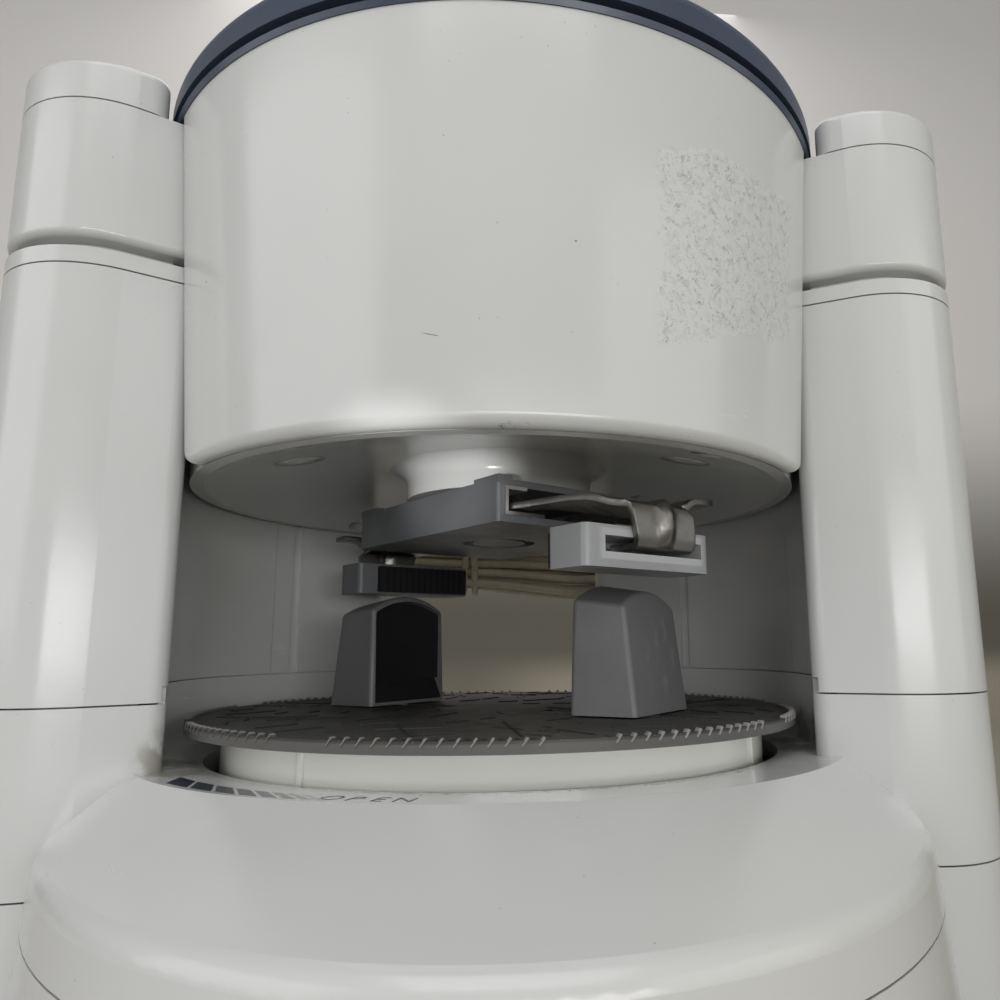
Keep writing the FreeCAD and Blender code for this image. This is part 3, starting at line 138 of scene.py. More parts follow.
# ---- material helpers ---------------------------------------------------------------
class Finish:
    """A material under construction: one principled shader and the nodes that feed it."""

    def __init__(self, name, colour, roughness, metallic=0.0):
        self.material = bpy.data.materials.new(name)
        self.material.use_nodes = True
        self.nodes = self.material.node_tree.nodes
        self.nodes.clear()
        self.shader = self.node("BsdfPrincipled", {"Metallic": metallic})
        self.node("OutputMaterial", {"Surface": self.shader.outputs["BSDF"]})
        self.place = self.node("TexCoord").outputs["Object"]
        self.colour = tuple(colour)
        self.tint = (*colour, 1.0)
        self.rough = roughness
        self.height = None

    def put(self, node, socket, value):
        """Sets an input to a constant, or links another node's output to it."""
        if isinstance(value, bpy.types.NodeSocket):
            self.material.node_tree.links.new(value, node.inputs[socket])
        else:
            node.inputs[socket].default_value = value

    def node(self, kind, inputs=None, **settings):
        node = self.nodes.new("ShaderNode" + kind)
        for name, value in settings.items():
            setattr(node, name, value)
        for socket, value in (inputs or {}).items():
            self.put(node, socket, value)
        return node

    def mapped(self, place=(0, 0, 0), turn=(0, 0, 0), size=(1, 1, 1)):
        """Object coordinates seen from a box of that place, turn and size."""
        values = {"Location": place, "Rotation": turn, "Scale": size, "Vector": self.place}
        return self.node("Mapping", values, vector_type="TEXTURE").outputs["Vector"]

    def noise(self, scale, detail=2.0, roughness=0.5, vector=None, distortion=0.0):
        values = {"Scale": scale, "Detail": detail, "Roughness": roughness,
                  "Distortion": distortion, "Vector": vector or self.place}
        return self.node("TexNoise", values).outputs["Fac"]

    def patches(self, scale, low, high, detail=3.0, roughness=0.5):
        """Noise parted into bare places (0, below low) and marked ones (1, above high)."""
        return self.mapped_range(self.noise(scale, detail, roughness), low, high)

    def cells(self, scale, vector=None, feature="F1"):
        values = {"Scale": scale, "Vector": vector or self.place}
        return self.node("TexVoronoi", values, feature=feature).outputs["Distance"]

    def specks(self, scale, outside, inside):
        """Small dots round the cells' middles."""
        return self.mapped_range(self.cells(scale), outside, inside)

    def blot(self, place, size, turn=(0, 0, 0)):
        """1 at the middle of an ellipsoid and 0 from its surface outwards."""
        values = {"Vector": self.mapped(place, turn, size)}
        return self.node("TexGradient", values, gradient_type="SPHERICAL").outputs["Fac"]

    def hairs(self, scale, width, share):
        """Short crooked hairlines: the edges of bent cells, broken up."""
        bend = self.node("TexNoise", {"Scale": scale * 1.6, "Detail": 3.0, "Vector": self.place})
        values = {0: bend.outputs["Color"], 1: (1.4 / scale,) * 3, 2: self.place}
        bent = self.node("VectorMath", values, operation="MULTIPLY_ADD").outputs["Vector"]
        edge = self.cells(scale, bent, "DISTANCE_TO_EDGE")
        broken = self.patches(scale * 1.3, 0.62 - share, 0.66 - share, 2.0)
        return self.both(self.mapped_range(edge, width, width * 0.3), broken)

    def mapped_range(self, value, low, high, to_low=0.0, to_high=1.0, smooth=True):
        values = {"From Min": low, "From Max": high, "To Min": to_low, "To Max": to_high,
                  "Value": value}
        kind = "SMOOTHSTEP" if smooth else "LINEAR"
        return self.node("MapRange", values, interpolation_type=kind).outputs["Result"]

    def sums(self, operation, first, second):
        return self.node("Math", {0: first, 1: second}, operation=operation).outputs["Value"]

    def both(self, first, second):
        """1 where both masks are 1; a number weakens a mask."""
        return self.sums("MULTIPLY", first, second)

    def apart(self, vector=None):
        """The X, Y and Z of each point."""
        return self.node("SeparateXYZ", {"Vector": vector or self.place}).outputs

    def window(self, place, half, soft, turn=(0, 0, 0)):
        """1 inside a box and 0 outside, soft at its sides; each half side is one unit."""
        result = 1.0
        for side in self.apart(self.mapped(place, turn, half)):
            far = self.sums("ABSOLUTE", side, 0.0)
            result = self.both(result, self.mapped_range(far, 1.0 - soft, 1.0, 1.0, 0.0))
        return result

    def around(self):
        """Azimuth round the vertical axis in degrees, and height, of each point."""
        x, y, z = self.apart()
        angle = self.sums("ARCTAN2", x, self.both(y, -1.0))
        return self.both(angle, math.degrees(1.0)), z

    def band(self, value, low, high, soft):
        """1 between low and high, falling to 0 over soft on both sides."""
        rise = self.mapped_range(value, low - soft, low)
        return self.both(rise, self.mapped_range(value, high, high + soft, 1.0, 0.0))

    def paint(self, mask, colour, strength=1.0):
        """Mixes a colour over what is there, where mask is 1; strength may be a mask too."""
        if strength != 1.0:
            mask = self.both(mask, strength)
        values = {"Factor": mask, 6: self.tint, 7: (*colour, 1.0)}
        self.tint = self.node("Mix", values, data_type="RGBA").outputs[2]

    def shade(self, mask, factor, strength=1.0):
        """Paints a lighter or darker tone of the finish's own colour."""
        self.paint(mask, lighter(self.colour, factor), strength)

    def dull(self, mask, amount):
        """Adds to the roughness where mask is 1."""
        self.rough = self.sums("ADD", self.rough, self.both(mask, amount))

    def raise_up(self, height, strength, distance):
        node = self.node("Bump", {"Strength": strength, "Distance": distance, "Height": height})
        if self.height is not None:
            self.put(node, "Normal", self.height)
        self.height = node.outputs["Normal"]

    def done(self):
        self.put(self.shader, "Base Color", self.tint)
        self.put(self.shader, "Roughness", self.rough)
        if self.height is not None:
            self.put(self.shader, "Normal", self.height)
        return self.material


def lighter(colour, factor):
    return tuple(min(1.0, c * factor) for c in colour)


def polar(radius, azimuth, z=0.0):
    angle = math.radians(azimuth)
    return Vector((radius * math.sin(angle), -radius * math.cos(angle), z))


def heading_turn(degrees, size=4):
    return Matrix.Rotation(math.radians(degrees), size, "Z")


# ---- finishes -----------------------------------------------------------------------
HEAD_RADIUS = 0.0815
# Dried glue that a peeled label left on the head: its azimuths, its heights, the height that it
# loses per degree, and how deep its upper corner is cut off between two azimuths.
GLUE_LEFT, GLUE_RIGHT = 20.5, 49.0
GLUE_FOOT, GLUE_TOP = 0.1338, 0.1712
GLUE_FALL = 0.00036
GLUE_CUT = 0.0085
GLUE_CUT_LEFT, GLUE_CUT_RIGHT = 28.0, 48.0
# Scratches and specks on the head: azimuth, height, half size, turn.
HEAD_MARKS = ((-10.4, 0.132, (0.0030, 0.003, 0.00026), 0.22),
              (-48.7, 0.1518, (0.0005, 0.003, 0.0004), 0.0),
              (17.5, 0.177, (0.0011, 0.003, 0.0006), 0.4),
              (18.6, 0.175, (0.0006, 0.003, 0.0006), 0.0),
              (8.0, 0.150, (0.0005, 0.003, 0.0004), 0.0))
RUBBED_RIM = (0.0, -0.0795, 0.1160)
RUBBED_RIM_HALF = (0.0035, 0.012, 0.0007)
# Two shallow wells on the underside, drawn as a bump with a painted highlight and a painted shade
# ring.
DIMPLE_RADIUS = 0.0545
DIMPLE_HEIGHT = 0.1210
DIMPLE_SIZE = 0.0062
DIMPLE_AZIMUTHS = (52.0, -60.0)
# Brown of the painted shade in the ledge's corners and along its gap.
LEDGE_SHADE_BROWN = (0.17, 0.145, 0.095)
DARK_GRIME = (0.06, 0.05, 0.035)
# Colour of the painted shade at the drum's foot.
DRUM_FOOT_SHADE = (0.10, 0.085, 0.055)
# Painted brownish shade in the ledge's corners: azimuth and reach.
LEDGE_CORNERS = ((71.5, 0.011), (-58.0, 0.010), (84.0, 0.012), (-70.0, 0.012))
CORNER_RADIUS, CORNER_HEIGHT = 0.0775, 0.0545
# Painted brownish shade along the ledge's gap, from azimuth to azimuth.
GAP_AZIMUTHS = range(-22, 46, 4)
GAP_RADIUS, GAP_HEIGHT = 0.0712, 0.0537
# Crumbs on the ledge: place and half size.
CRUMBS = (((0.0805, -0.0345, 0.0560), (0.0045, 0.004, 0.006)),
          ((-0.0150, -0.0711, 0.0538), (0.0011, 0.0011, 0.001)))
# Dust and grit of the mat, and the paler colour painted on its side as painted light.
MAT_DUST, MAT_GRIT, MAT_SIDE_LIGHT = (0.12, 0.112, 0.092), (0.20, 0.195, 0.17), (0.105, 0.104, 0.100)
# Pale grey painted on the rim fins as painted light on their shaded faces.
FIN_LIT_GREY = (0.21, 0.207, 0.20)
DRUM_CREAM = (0.86, 0.86, 0.81)
DRUM_FOOT_TOP, DRUM_FOOT = 0.053, 0.048
MAT_EDGE_TOP, MAT_EDGE_FOOT = 0.0003, 0.0007    # below the mat's top
# Colour of the painted highlight inside the underside's wells.
WELL_HIGHLIGHT = (0.90, 0.90, 0.88)
RUBBED_JAW = (0.0455, -0.0330, 0.0765)
RUBBED_JAW_SIZE = (0.016, 0.018, 0.017)
GRIPPER_HEADING = -56.0       # heading of the gripper's long axis, from +X
HOLDER_SLOT = (0.0560, 0.0009, 0.0984)
HOLDER_SLOT_HALF = (0.0115, 0.0166, 0.0034)
SLOT_LINING, HOLDER_NICKS = (0.50, 0.51, 0.52), (0.60, 0.61, 0.62)
STEEL_STAIN = (0.25, 0.235, 0.205)
LINER_SHADE = 2.3             # the liners' bright steel against the arms'
CORD_GREY, CORD_GRIME = (0.30, 0.265, 0.19), (0.16, 0.14, 0.10)


def gloss_base(name, colour, roughness=0.16):
    """Glossy moulding: slight mottling, dust specks, hairline swirls and orange peel."""
    finish = Finish(name, colour, roughness)
    finish.shade(finish.patches(16.0, 0.35, 0.75), 0.955)
    yellowed = (colour[0], colour[1] * 0.985, colour[2] * 0.94)
    finish.paint(finish.patches(5.0, 0.55, 0.8, 2.0), yellowed)
    specks = finish.specks(420.0, 0.085, 0.045)
    finish.shade(finish.both(specks, finish.patches(150.0, 0.60, 0.66, 1.0)), 0.45, 0.6)
    finish.dull(finish.patches(40.0, 0.4, 0.7, 4.0), 0.07)
    hairs = finish.noise(55.0, 6.0, 0.7, finish.mapped(size=(1.0, 1.0, 0.12)), 1.2)
    finish.dull(finish.mapped_range(hairs, 0.58, 0.64), 0.05)
    finish.raise_up(finish.noise(260.0), 0.035, 0.0004)
    return finish


def shell_material():
    return gloss_base("gloss_white", colours().shell).done()


def inner_material():
    return gloss_base("inner_white", colours().inner, 0.20).done()


def head_front_material():
    """Head front: what a peeled label left, its scratches and a few marks of use."""
    finish = gloss_base("head_front_white", colours().shell)
    azimuth, height = finish.around()
    edge = finish.mapped_range(finish.noise(130.0, 5.0, 0.7), 0.2, 0.8, -1.0, 1.0)
    side = finish.sums("ADD", azimuth, finish.both(edge, 1.6))
    lean = finish.both(finish.sums("SUBTRACT", azimuth, 20.0), GLUE_FALL)
    level = finish.sums("ADD", finish.sums("SUBTRACT", height, lean), finish.both(edge, 0.0016))
    glue = finish.both(finish.band(side, GLUE_LEFT, GLUE_RIGHT, 1.2),
                       finish.band(level, GLUE_FOOT, GLUE_TOP, 0.0012))
    cut = finish.mapped_range(side, GLUE_CUT_LEFT, GLUE_CUT_RIGHT, 0.0, GLUE_CUT, False)
    below = finish.mapped_range(finish.sums("ADD", level, cut), GLUE_TOP, GLUE_TOP + 0.0012,
                                1.0, 0.0)
    glue = finish.both(glue, below)
    finish.dull(glue, 0.18)
    finish.shade(glue, 1.04, 0.40)
    finish.shade(finish.both(glue, finish.patches(600.0, 0.48, 0.62, 5.0, 0.7)), 0.80, 0.55)
    for scale, share in ((330.0, 0.10), (520.0, 0.11)):
        finish.shade(finish.both(glue, finish.hairs(scale, 0.034, share)), 0.22, 0.50)
    for azimuth, z, size, turn in HEAD_MARKS:
        spot = polar(HEAD_RADIUS, azimuth, z)
        mark = finish.blot(spot, size, (0.0, turn, math.radians(azimuth)))
        broken = finish.sums("ADD", mark, finish.both(finish.noise(1500.0), 0.5))
        finish.shade(finish.mapped_range(broken, 0.60, 0.80), 0.25, 0.7)
    rim = finish.window(RUBBED_RIM, RUBBED_RIM_HALF, 0.5)
    finish.shade(finish.both(rim, finish.patches(900.0, 0.50, 0.62, 5.0, 0.7)), 0.30, 0.8)
    return finish.done()


def underside_material():
    """Head underside: glossy, with two shallow wells, each a bump with a painted highlight inside and
    a painted shade ring round its edge.
    """
    finish = gloss_base("underside_white", colours().shell, 0.12)
    for azimuth in DIMPLE_AZIMUTHS:
        spot = polar(DIMPLE_RADIUS, azimuth, DIMPLE_HEIGHT)
        dimple = finish.blot(spot, (DIMPLE_SIZE,) * 3, (0.0, 0.0, math.radians(azimuth)))
        bowl = finish.mapped_range(dimple, 0.10, 0.55)
        # Painted highlight in the well's bowl.
        finish.paint(bowl, WELL_HIGHLIGHT, 0.85)
        # Painted shade: a dark ring at the well's edge.
        finish.shade(finish.band(dimple, 0.06, 0.14, 0.05), 0.30, 0.55)
        finish.raise_up(bowl, 0.8, 0.0016)
    return finish.done()


def base_material():
    """Base: painted brownish shade in the ledge's corners and along its gap, and two crumbs."""
    finish = gloss_base("base_white", colours().shell)
    for azimuth, reach in LEDGE_CORNERS:
        mark = finish.blot(polar(CORNER_RADIUS, azimuth, CORNER_HEIGHT), (reach, reach, 0.012))
        ragged = finish.mapped_range(finish.noise(240.0, 4.0), 0.3, 0.6, 0.5, 1.6)
        # Painted shade in the ledge's corner.
        finish.paint(finish.mapped_range(finish.both(mark, ragged), 0.15, 0.9), LEDGE_SHADE_BROWN, 0.6)
    for azimuth in GAP_AZIMUTHS:
        spot = polar(GAP_RADIUS, azimuth, GAP_HEIGHT)
        mark = finish.blot(spot, (0.0050, 0.0016, 0.002), (0, 0, math.radians(azimuth)))
        broken = finish.patches(520.0, 0.50, 0.62, 4.0, 0.7)
        # Painted shade along the ledge's gap.
        finish.paint(finish.both(finish.mapped_range(mark, 0.0, 0.5), broken), LEDGE_SHADE_BROWN, 0.75)
    for spot, size in CRUMBS:
        ragged = finish.mapped_range(finish.noise(600.0, 3.0), 0.35, 0.6, 0.4, 1.7)
        mark = finish.both(finish.blot(spot, size), ragged)
        finish.paint(finish.mapped_range(mark, 0.3, 0.7), DARK_GRIME, 0.7)
    return finish.done()


def satin_material(name, colour, roughness, grain_scale, grain_height, wear=0.0):
    """Moulded satin or soft-touch plastic with an even spark-eroded grain."""
    finish = Finish(name, colour, roughness)
    finish.shade(finish.patches(45.0, 0.35, 0.75), 0.86)
    grain = finish.noise(grain_scale, 3.0, 0.6)
    finish.shade(finish.mapped_range(grain, 0.60, 0.78), 1.45, 0.35)
    finish.dull(finish.patches(90.0, 0.4, 0.7, 4.0), 0.10)
    if wear:
        rubbed = finish.patches(38.0, 0.57, 0.68, 5.0, 0.7)
        fine = finish.patches(700.0, 0.45, 0.60, 3.0, 0.7)
        finish.shade(finish.both(rubbed, fine), 1.9, wear)
    finish.raise_up(grain, 0.25, grain_height)
    return finish


def cap_material():
    return satin_material("cap_slate_blue", colours().cap, 0.30, 1400.0, 0.00005).done()


def mat_material():
    """Turntable mat: coarse soft-touch grain, dust in it, worn patches, a side painted paler as
    painted light.
    """
    finish = satin_material("mat_dark", colours().mat, 0.52, 900.0, 0.00022, 0.35)
    finish.paint(finish.patches(24.0, 0.50, 0.72, 5.0, 0.65), MAT_DUST, 0.35)
    few = finish.patches(700.0, 0.50, 0.60, 2.0)
    finish.paint(finish.both(finish.specks(1500.0, 0.30, 0.15), few), MAT_GRIT, 0.55)
    # Painted light: the mat's side, just below its top, painted paler.
    edge = finish.mapped_range(finish.apart()["Z"], MAT_TOP - MAT_EDGE_TOP, MAT_TOP - MAT_EDGE_FOOT)
    finish.paint(edge, MAT_SIDE_LIGHT, 0.85)
    return finish.done()


def jaw_material():
    """Jar jaws: soft-touch grey with pale rubbing marks on the outer face."""
    finish = satin_material("jaw_grey", colours().jaw, 0.42, 1300.0, 0.00008)
    streaks = finish.noise(260.0, 6.0, 0.75, finish.mapped(turn=(0, 0.2, 0), size=(1, 1, 2.4)))
    where = finish.mapped_range(finish.blot(RUBBED_JAW, RUBBED_JAW_SIZE), 0.0, 0.6)
    finish.shade(finish.both(finish.mapped_range(streaks, 0.50, 0.62), where), 2.3, 0.55)
    return finish.done()


def rib_material():
    """Ribs and notches of the mat, darker than the mat: painted shade on the ribs' faces and in the
    notches.
    """
    # Painted shade: the mat's colour darkened for the ribs and notches.
    dark = lighter(colours().mat, 0.28)
    return satin_material("mat_rib_dark", dark, 0.60, 900.0, 0.0001).done()


def fin_material():
    """Fins of the mat, painted pale as painted light on faces that lie in shade."""
    return satin_material("mat_fin_grey", FIN_LIT_GREY, 0.55, 900.0, 0.0001).done()


def drum_material():
    """Turntable drum: aged creamy white with specks of painted shade near its foot."""
    finish = gloss_base("drum_cream", DRUM_CREAM, 0.14)
    few = finish.patches(210.0, 0.56, 0.62, 2.0)
    foot = finish.mapped_range(finish.apart()["Z"], DRUM_FOOT_TOP, DRUM_FOOT)
    foot_shade = finish.both(finish.both(finish.specks(520.0, 0.16, 0.08), few), foot)
    # Painted shade: dark specks near the drum's foot.
    finish.paint(foot_shade, DRUM_FOOT_SHADE, 0.8)
    return finish.done()


def rubber_material():
    finish = satin_material("black_rubber", colours().rubber, 0.62, 800.0, 0.00010)
    finish.put(finish.shader, "Specular IOR Level", 0.3)
    return finish.done()


def holder_material():
    """Light pad holder: nicks along its edges and a pale lining in its slot."""
    finish = satin_material("holder_light_grey", colours().holder, 0.34, 1100.0, 0.00006)
    finish.paint(finish.patches(520.0, 0.66, 0.74, 4.0, 0.8), HOLDER_NICKS, 0.5)
    spot = heading_turn(GRIPPER_HEADING, 3) @ Vector(HOLDER_SLOT)
    turn = (0.0, 0.0, math.radians(GRIPPER_HEADING))
    finish.paint(finish.window(spot, HOLDER_SLOT_HALF, 0.12, turn), SLOT_LINING, 0.8)
    return finish.done()


def gripper_material():
    return satin_material("gripper_grey", colours().gripper, 0.40, 1200.0, 0.00008, 0.25).done()


def steel_material(name="nickel_steel", factor=1.0):
    """Stamped nickel steel: rolling lines, dull blotches, bright rubbed spots."""
    finish = Finish(name, lighter(colours().steel, factor), 0.28, metallic=1.0)
    lines = finish.noise(300.0, 4.0, 0.6, finish.mapped(turn=(0, 0, 0.98), size=(8.0, 0.5, 1.0)))
    finish.shade(finish.mapped_range(lines, 0.4, 0.65), 0.72, 0.5)
    stains = finish.patches(110.0, 0.50, 0.70, 5.0, 0.7)
    finish.paint(stains, lighter(STEEL_STAIN, factor), 0.6)
    finish.dull(stains, 0.22)
    finish.dull(finish.mapped_range(lines, 0.4, 0.6), 0.08)
    finish.raise_up(lines, 0.10, 0.0001)
    return finish.done()


def turned_steel_material():
    finish = Finish("turned_steel", (0.52, 0.52, 0.52), 0.24, metallic=1.0)
    rings = finish.noise(900.0, 2.0, 0.5, finish.mapped(size=(4.0, 4.0, 0.4)))
    finish.paint(finish.mapped_range(rings, 0.4, 0.6), (0.40, 0.40, 0.41), 0.5)
    finish.dull(finish.patches(120.0, 0.4, 0.7), 0.12)
    finish.raise_up(rings, 0.08, 0.0001)
    return finish.done()


def plain_moulding(name, colour, roughness):
    finish = Finish(name, colour, roughness)
    finish.shade(finish.patches(60.0, 0.4, 0.7), 0.85)
    finish.dull(finish.patches(140.0, 0.4, 0.7), 0.08)
    finish.raise_up(finish.noise(900.0), 0.10, 0.0001)
    return finish.done()


def cord_material():
    """Vinyl cord: greyed and slightly grubby, with faint ripples."""
    finish = Finish("cord_vinyl", colours().cord, 0.42)
    finish.paint(finish.patches(60.0, 0.40, 0.70, 4.0, 0.6), CORD_GREY, 0.55)
    finish.paint(finish.patches(700.0, 0.60, 0.72), CORD_GRIME, 0.4)
    finish.dull(finish.patches(200.0, 0.4, 0.7), 0.12)
    finish.raise_up(finish.noise(380.0, 3.0), 0.15, 0.0002)
    return finish.done()


def ink_material(name, colour):
    finish = Finish(name, colour, 0.35)
    finish.shade(finish.patches(900.0, 0.55, 0.70), 2.2, 0.5)
    finish.dull(finish.patches(300.0, 0.4, 0.7, 2.0), 0.1)
    return finish.done()


# ---- mesh helpers -------------------------------------------------------------------
SHARP_ANGLE = math.radians(35.0)


def add_object(name, mesh, material, body):
    piece = bpy.data.objects.new(name, mesh)
    bpy.context.scene.collection.objects.link(piece)
    mesh.materials.append(material)
    if body is not None:
        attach(piece, body)
    return piece


def mesh_from(bm, name, smooth=True):
    """The bmesh as a mesh with outward faces; sharp edges stay sharp."""
    bmesh.ops.remove_doubles(bm, verts=bm.verts, dist=1e-6)
    bmesh.ops.recalc_face_normals(bm, faces=bm.faces)
    mesh = bpy.data.meshes.new(name)
    bm.to_mesh(mesh)
    bm.free()
    if smooth:
        for polygon in mesh.polygons:
            polygon.use_smooth = True
        mesh.set_sharp_from_angle(angle=SHARP_ANGLE)
    return mesh


def dress(material, *names):
    """Gives CAD nodes their material."""
    for name in names:
        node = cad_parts[name]
        if not node.material_slots:
            node.data.materials.append(material)
        for slot in node.material_slots:
            slot.link = "OBJECT"
            slot.material = material


def line_length(curve_data):
    """Length of a curve's own line, as Blender evaluates it."""
    bare = bpy.data.objects.new("bare_line", curve_data.copy())
    bare.data.bevel_depth = 0.0
    mesh = bpy.data.meshes.new_from_object(bare)
    points = [v.co.copy() for v in mesh.vertices]
    bpy.data.meshes.remove(mesh)
    bpy.data.curves.remove(bare.data)
    return sum((b - a).length for a, b in zip(points, points[1:]))


# ---- stage --------------------------------------------------------------------------
CAMERA_PLACE = Vector((-0.0061, -0.2157, 0.0779))
CAMERA_PITCH = 10.19
CAMERA_YAW = 6.11
CAMERA_ROLL = -0.53
CAMERA_SHIFT_X = -0.0616
CAMERA_SENSOR = 36.0
# Lamps: name, place, what it is aimed at, width and height, power setting, share of it.
LAMPS = (("front_lamp", (0.20, -1.25, 0.13), (0.0, 0.0, 0.09), (1.0, 0.20), "front_power", 1.0),
         ("key_lamp", (0.0, -0.62, 1.05), (0.0, 0.0, 0.10), (0.9, 0.9), "key_power", 1.0),
         ("left_lamp", (-0.95, -0.50, 0.42), (0.0, 0.0, 0.12), (0.9, 0.7), "side_power", 1.4),
         ("right_lamp", (1.00, -0.75, 0.34), (0.0, 0.0, 0.10), (1.0, 0.7), "side_power", 1.1),
         ("back_lamp", (0.0, 0.45, 1.00), (0.0, 0.30, 0.12), (0.7, 0.7), "side_power", 1.0))
BOSS_LAMP_PLACE = (-0.08, -0.45, 0.026)
BOSS_LAMP_AIM = (-0.012, -0.020, 0.1170)
BOSS_LAMP_CONE = 4.4
BOSS_LAMP_RADIUS = 0.006
ROOM_COLOUR = (0.52, 0.525, 0.53, 1.0)
ROOM_STRENGTH = 0.40
FLOOR_FRONT = 2.0             # how far the floor reaches towards the user
BACKDROP_DISTANCE = 0.75
BACKDROP_HEIGHT = 1.6
STAGE_HALF_WIDTH = 2.2
SWEEP_RADIUS = 0.25
SWEEP_STEPS = 12
# Paper: where the floor turns dark (painted shade), the height of its foot painted brighter
# (painted light), where that foot begins to the right, and where the backdrop turns pale.
DARK_FROM, DARK_TO = 0.30, 0.60
FOOT_TOP, FOOT_LOW = 0.075, 0.035
FOOT_SHADE = 2.6
FOOT_FROM, FOOT_TO, FOOT_LEFT = -0.02, 0.10, 0.25
PALE_FROM, PALE_TO = 0.10, 0.42


class JAROPENER_OT_stage(bpy.types.Operator):
    """Make the camera, the lamps, and the floor with its backdrop"""
    bl_idname = "jar_opener.stage"
    bl_label = "Stage"

    def execute(self, context):
        self.make_camera(context)
        self.make_lamps(context)
        self.make_world(context)
        self.make_floor()
        return {"FINISHED"}

    @staticmethod
    def make_camera(context):
        data = bpy.data.cameras.new("camera")
        data.lens = stage_values().lens
        data.sensor_width = CAMERA_SENSOR
        data.shift_x = CAMERA_SHIFT_X
        data.clip_start = 0.005
        data.clip_end = 20.0
        camera = bpy.data.objects.new("camera", data)
        pitch, yaw = math.radians(CAMERA_PITCH), math.radians(CAMERA_YAW)
        ahead = Vector((math.sin(yaw) * math.cos(pitch), math.cos(yaw) * math.cos(pitch),
                        math.sin(pitch)))
        turn = ahead.to_track_quat("-Z", "Y").to_matrix().to_4x4()
        camera.matrix_world = Matrix.Translation(CAMERA_PLACE) @ turn @ heading_turn(CAMERA_ROLL)
        context.scene.collection.objects.link(camera)
        context.scene.camera = camera
        context.scene.view_settings.view_transform = "Standard"

    def make_lamps(self, context):
        values = stage_values()
        for name, place, aim, (width, height), power, share in LAMPS:
            data = bpy.data.lights.new(name, "AREA")
            data.shape = "RECTANGLE"
            data.size = width
            data.size_y = height
            data.energy = getattr(values, power) * share
            self.hang(context, data, place, aim)
        data = bpy.data.lights.new("boss_lamp", "SPOT")
        data.spot_size = math.radians(BOSS_LAMP_CONE)
        data.spot_blend = 0.5
        data.shadow_soft_size = BOSS_LAMP_RADIUS
        data.energy = values.spot_power
        self.hang(context, data, BOSS_LAMP_PLACE, BOSS_LAMP_AIM)

    @staticmethod
    def hang(context, data, place, aim):
        lamp = bpy.data.objects.new(data.name, data)
        lamp.location = place
        heading = Vector(aim) - Vector(place)
        lamp.rotation_euler = heading.to_track_quat("-Z", "Y").to_euler()
        context.scene.collection.objects.link(lamp)

    @staticmethod
    def make_world(context):
        world = bpy.data.worlds.new("room")
        world.use_nodes = True
        background = world.node_tree.nodes["Background"]
        background.inputs["Color"].default_value = ROOM_COLOUR
        background.inputs["Strength"].default_value = ROOM_STRENGTH
        context.scene.world = world

    def make_floor(self):
        """Floor, a quarter-round sweep and the backdrop, from one edge."""
        bm = bmesh.new()
        left = bm.verts.new((-STAGE_HALF_WIDTH, -FLOOR_FRONT, 0.0))
        right = bm.verts.new((STAGE_HALF_WIDTH, -FLOOR_FRONT, 0.0))
        edge = bm.edges.new((left, right))
        centre = Vector((0.0, BACKDROP_DISTANCE - SWEEP_RADIUS, SWEEP_RADIUS))
        edge = self.extrude(bm, edge, (0.0, FLOOR_FRONT + centre.y, 0.0))
        for step in range(1, SWEEP_STEPS + 1):
            angle = math.pi / 2.0 * step / SWEEP_STEPS
            target = centre + SWEEP_RADIUS * Vector((0.0, math.sin(angle), -math.cos(angle)))
            edge = self.extrude(bm, edge, target - (edge.verts[0].co + edge.verts[1].co) / 2.0)
        self.extrude(bm, edge, (0.0, 0.0, BACKDROP_HEIGHT))
        floor = add_object("stage_floor", mesh_from(bm, "stage_floor"), self.paper(), None)

    @staticmethod
    def paper():
        """Plain floor and pale backdrop with painted shade: the floor turns dark towards the
        backdrop's foot, and the foot is painted brighter towards the right as painted light.
        """
        values = stage_values()
        finish = Finish("stage_paper", values.floor, 0.85)
        x, y, z = finish.apart()
        finish.shade(finish.patches(9.0, 0.4, 0.7), 0.96, 0.5)
        # Painted shade: the floor darkens towards the backdrop.
        finish.paint(finish.mapped_range(y, DARK_FROM, DARK_TO), values.backdrop_painted_shade)
        # Painted light: the backdrop's foot is painted brighter, more so towards the right.
        foot = finish.mapped_range(z, FOOT_TOP, FOOT_LOW)
        across = finish.mapped_range(x, FOOT_FROM, FOOT_TO, FOOT_LEFT, 1.0)
        finish.paint(foot, lighter(values.backdrop_painted_shade, FOOT_SHADE), across)
        finish.paint(finish.mapped_range(z, PALE_FROM, PALE_TO), values.backdrop)
        return finish.done()

    @staticmethod
    def extrude(bm, edge, move):
        made = bmesh.ops.extrude_edge_only(bm, edges=[edge])["geom"]
        verts = [item for item in made if isinstance(item, bmesh.types.BMVert)]
        bmesh.ops.translate(bm, vec=move, verts=verts)
        return next(item for item in made if isinstance(item, bmesh.types.BMEdge))


# ---- cord ---------------------------------------------------------------------------
# The cord's way from the column to the hank and from the hank to the plug, in mm.
LEAD_ROUTE = ((-18.0, 86.0, 138.0), (6.0, 92.0, 136.0), (26.0, 106.0, 128.0),
              (44.0, 116.0, 113.0))
TAIL_ROUTE = ((64.0, 116.0, 104.8), (84.0, 116.0, 101.8), (98.0, 118.0, 84.8),
              (100.0, 119.0, 62.8))
HANK_TURNS = 6
HANK_LANES = 3
HANK_END = 0.0035             # cord's middle inside the hank's ends
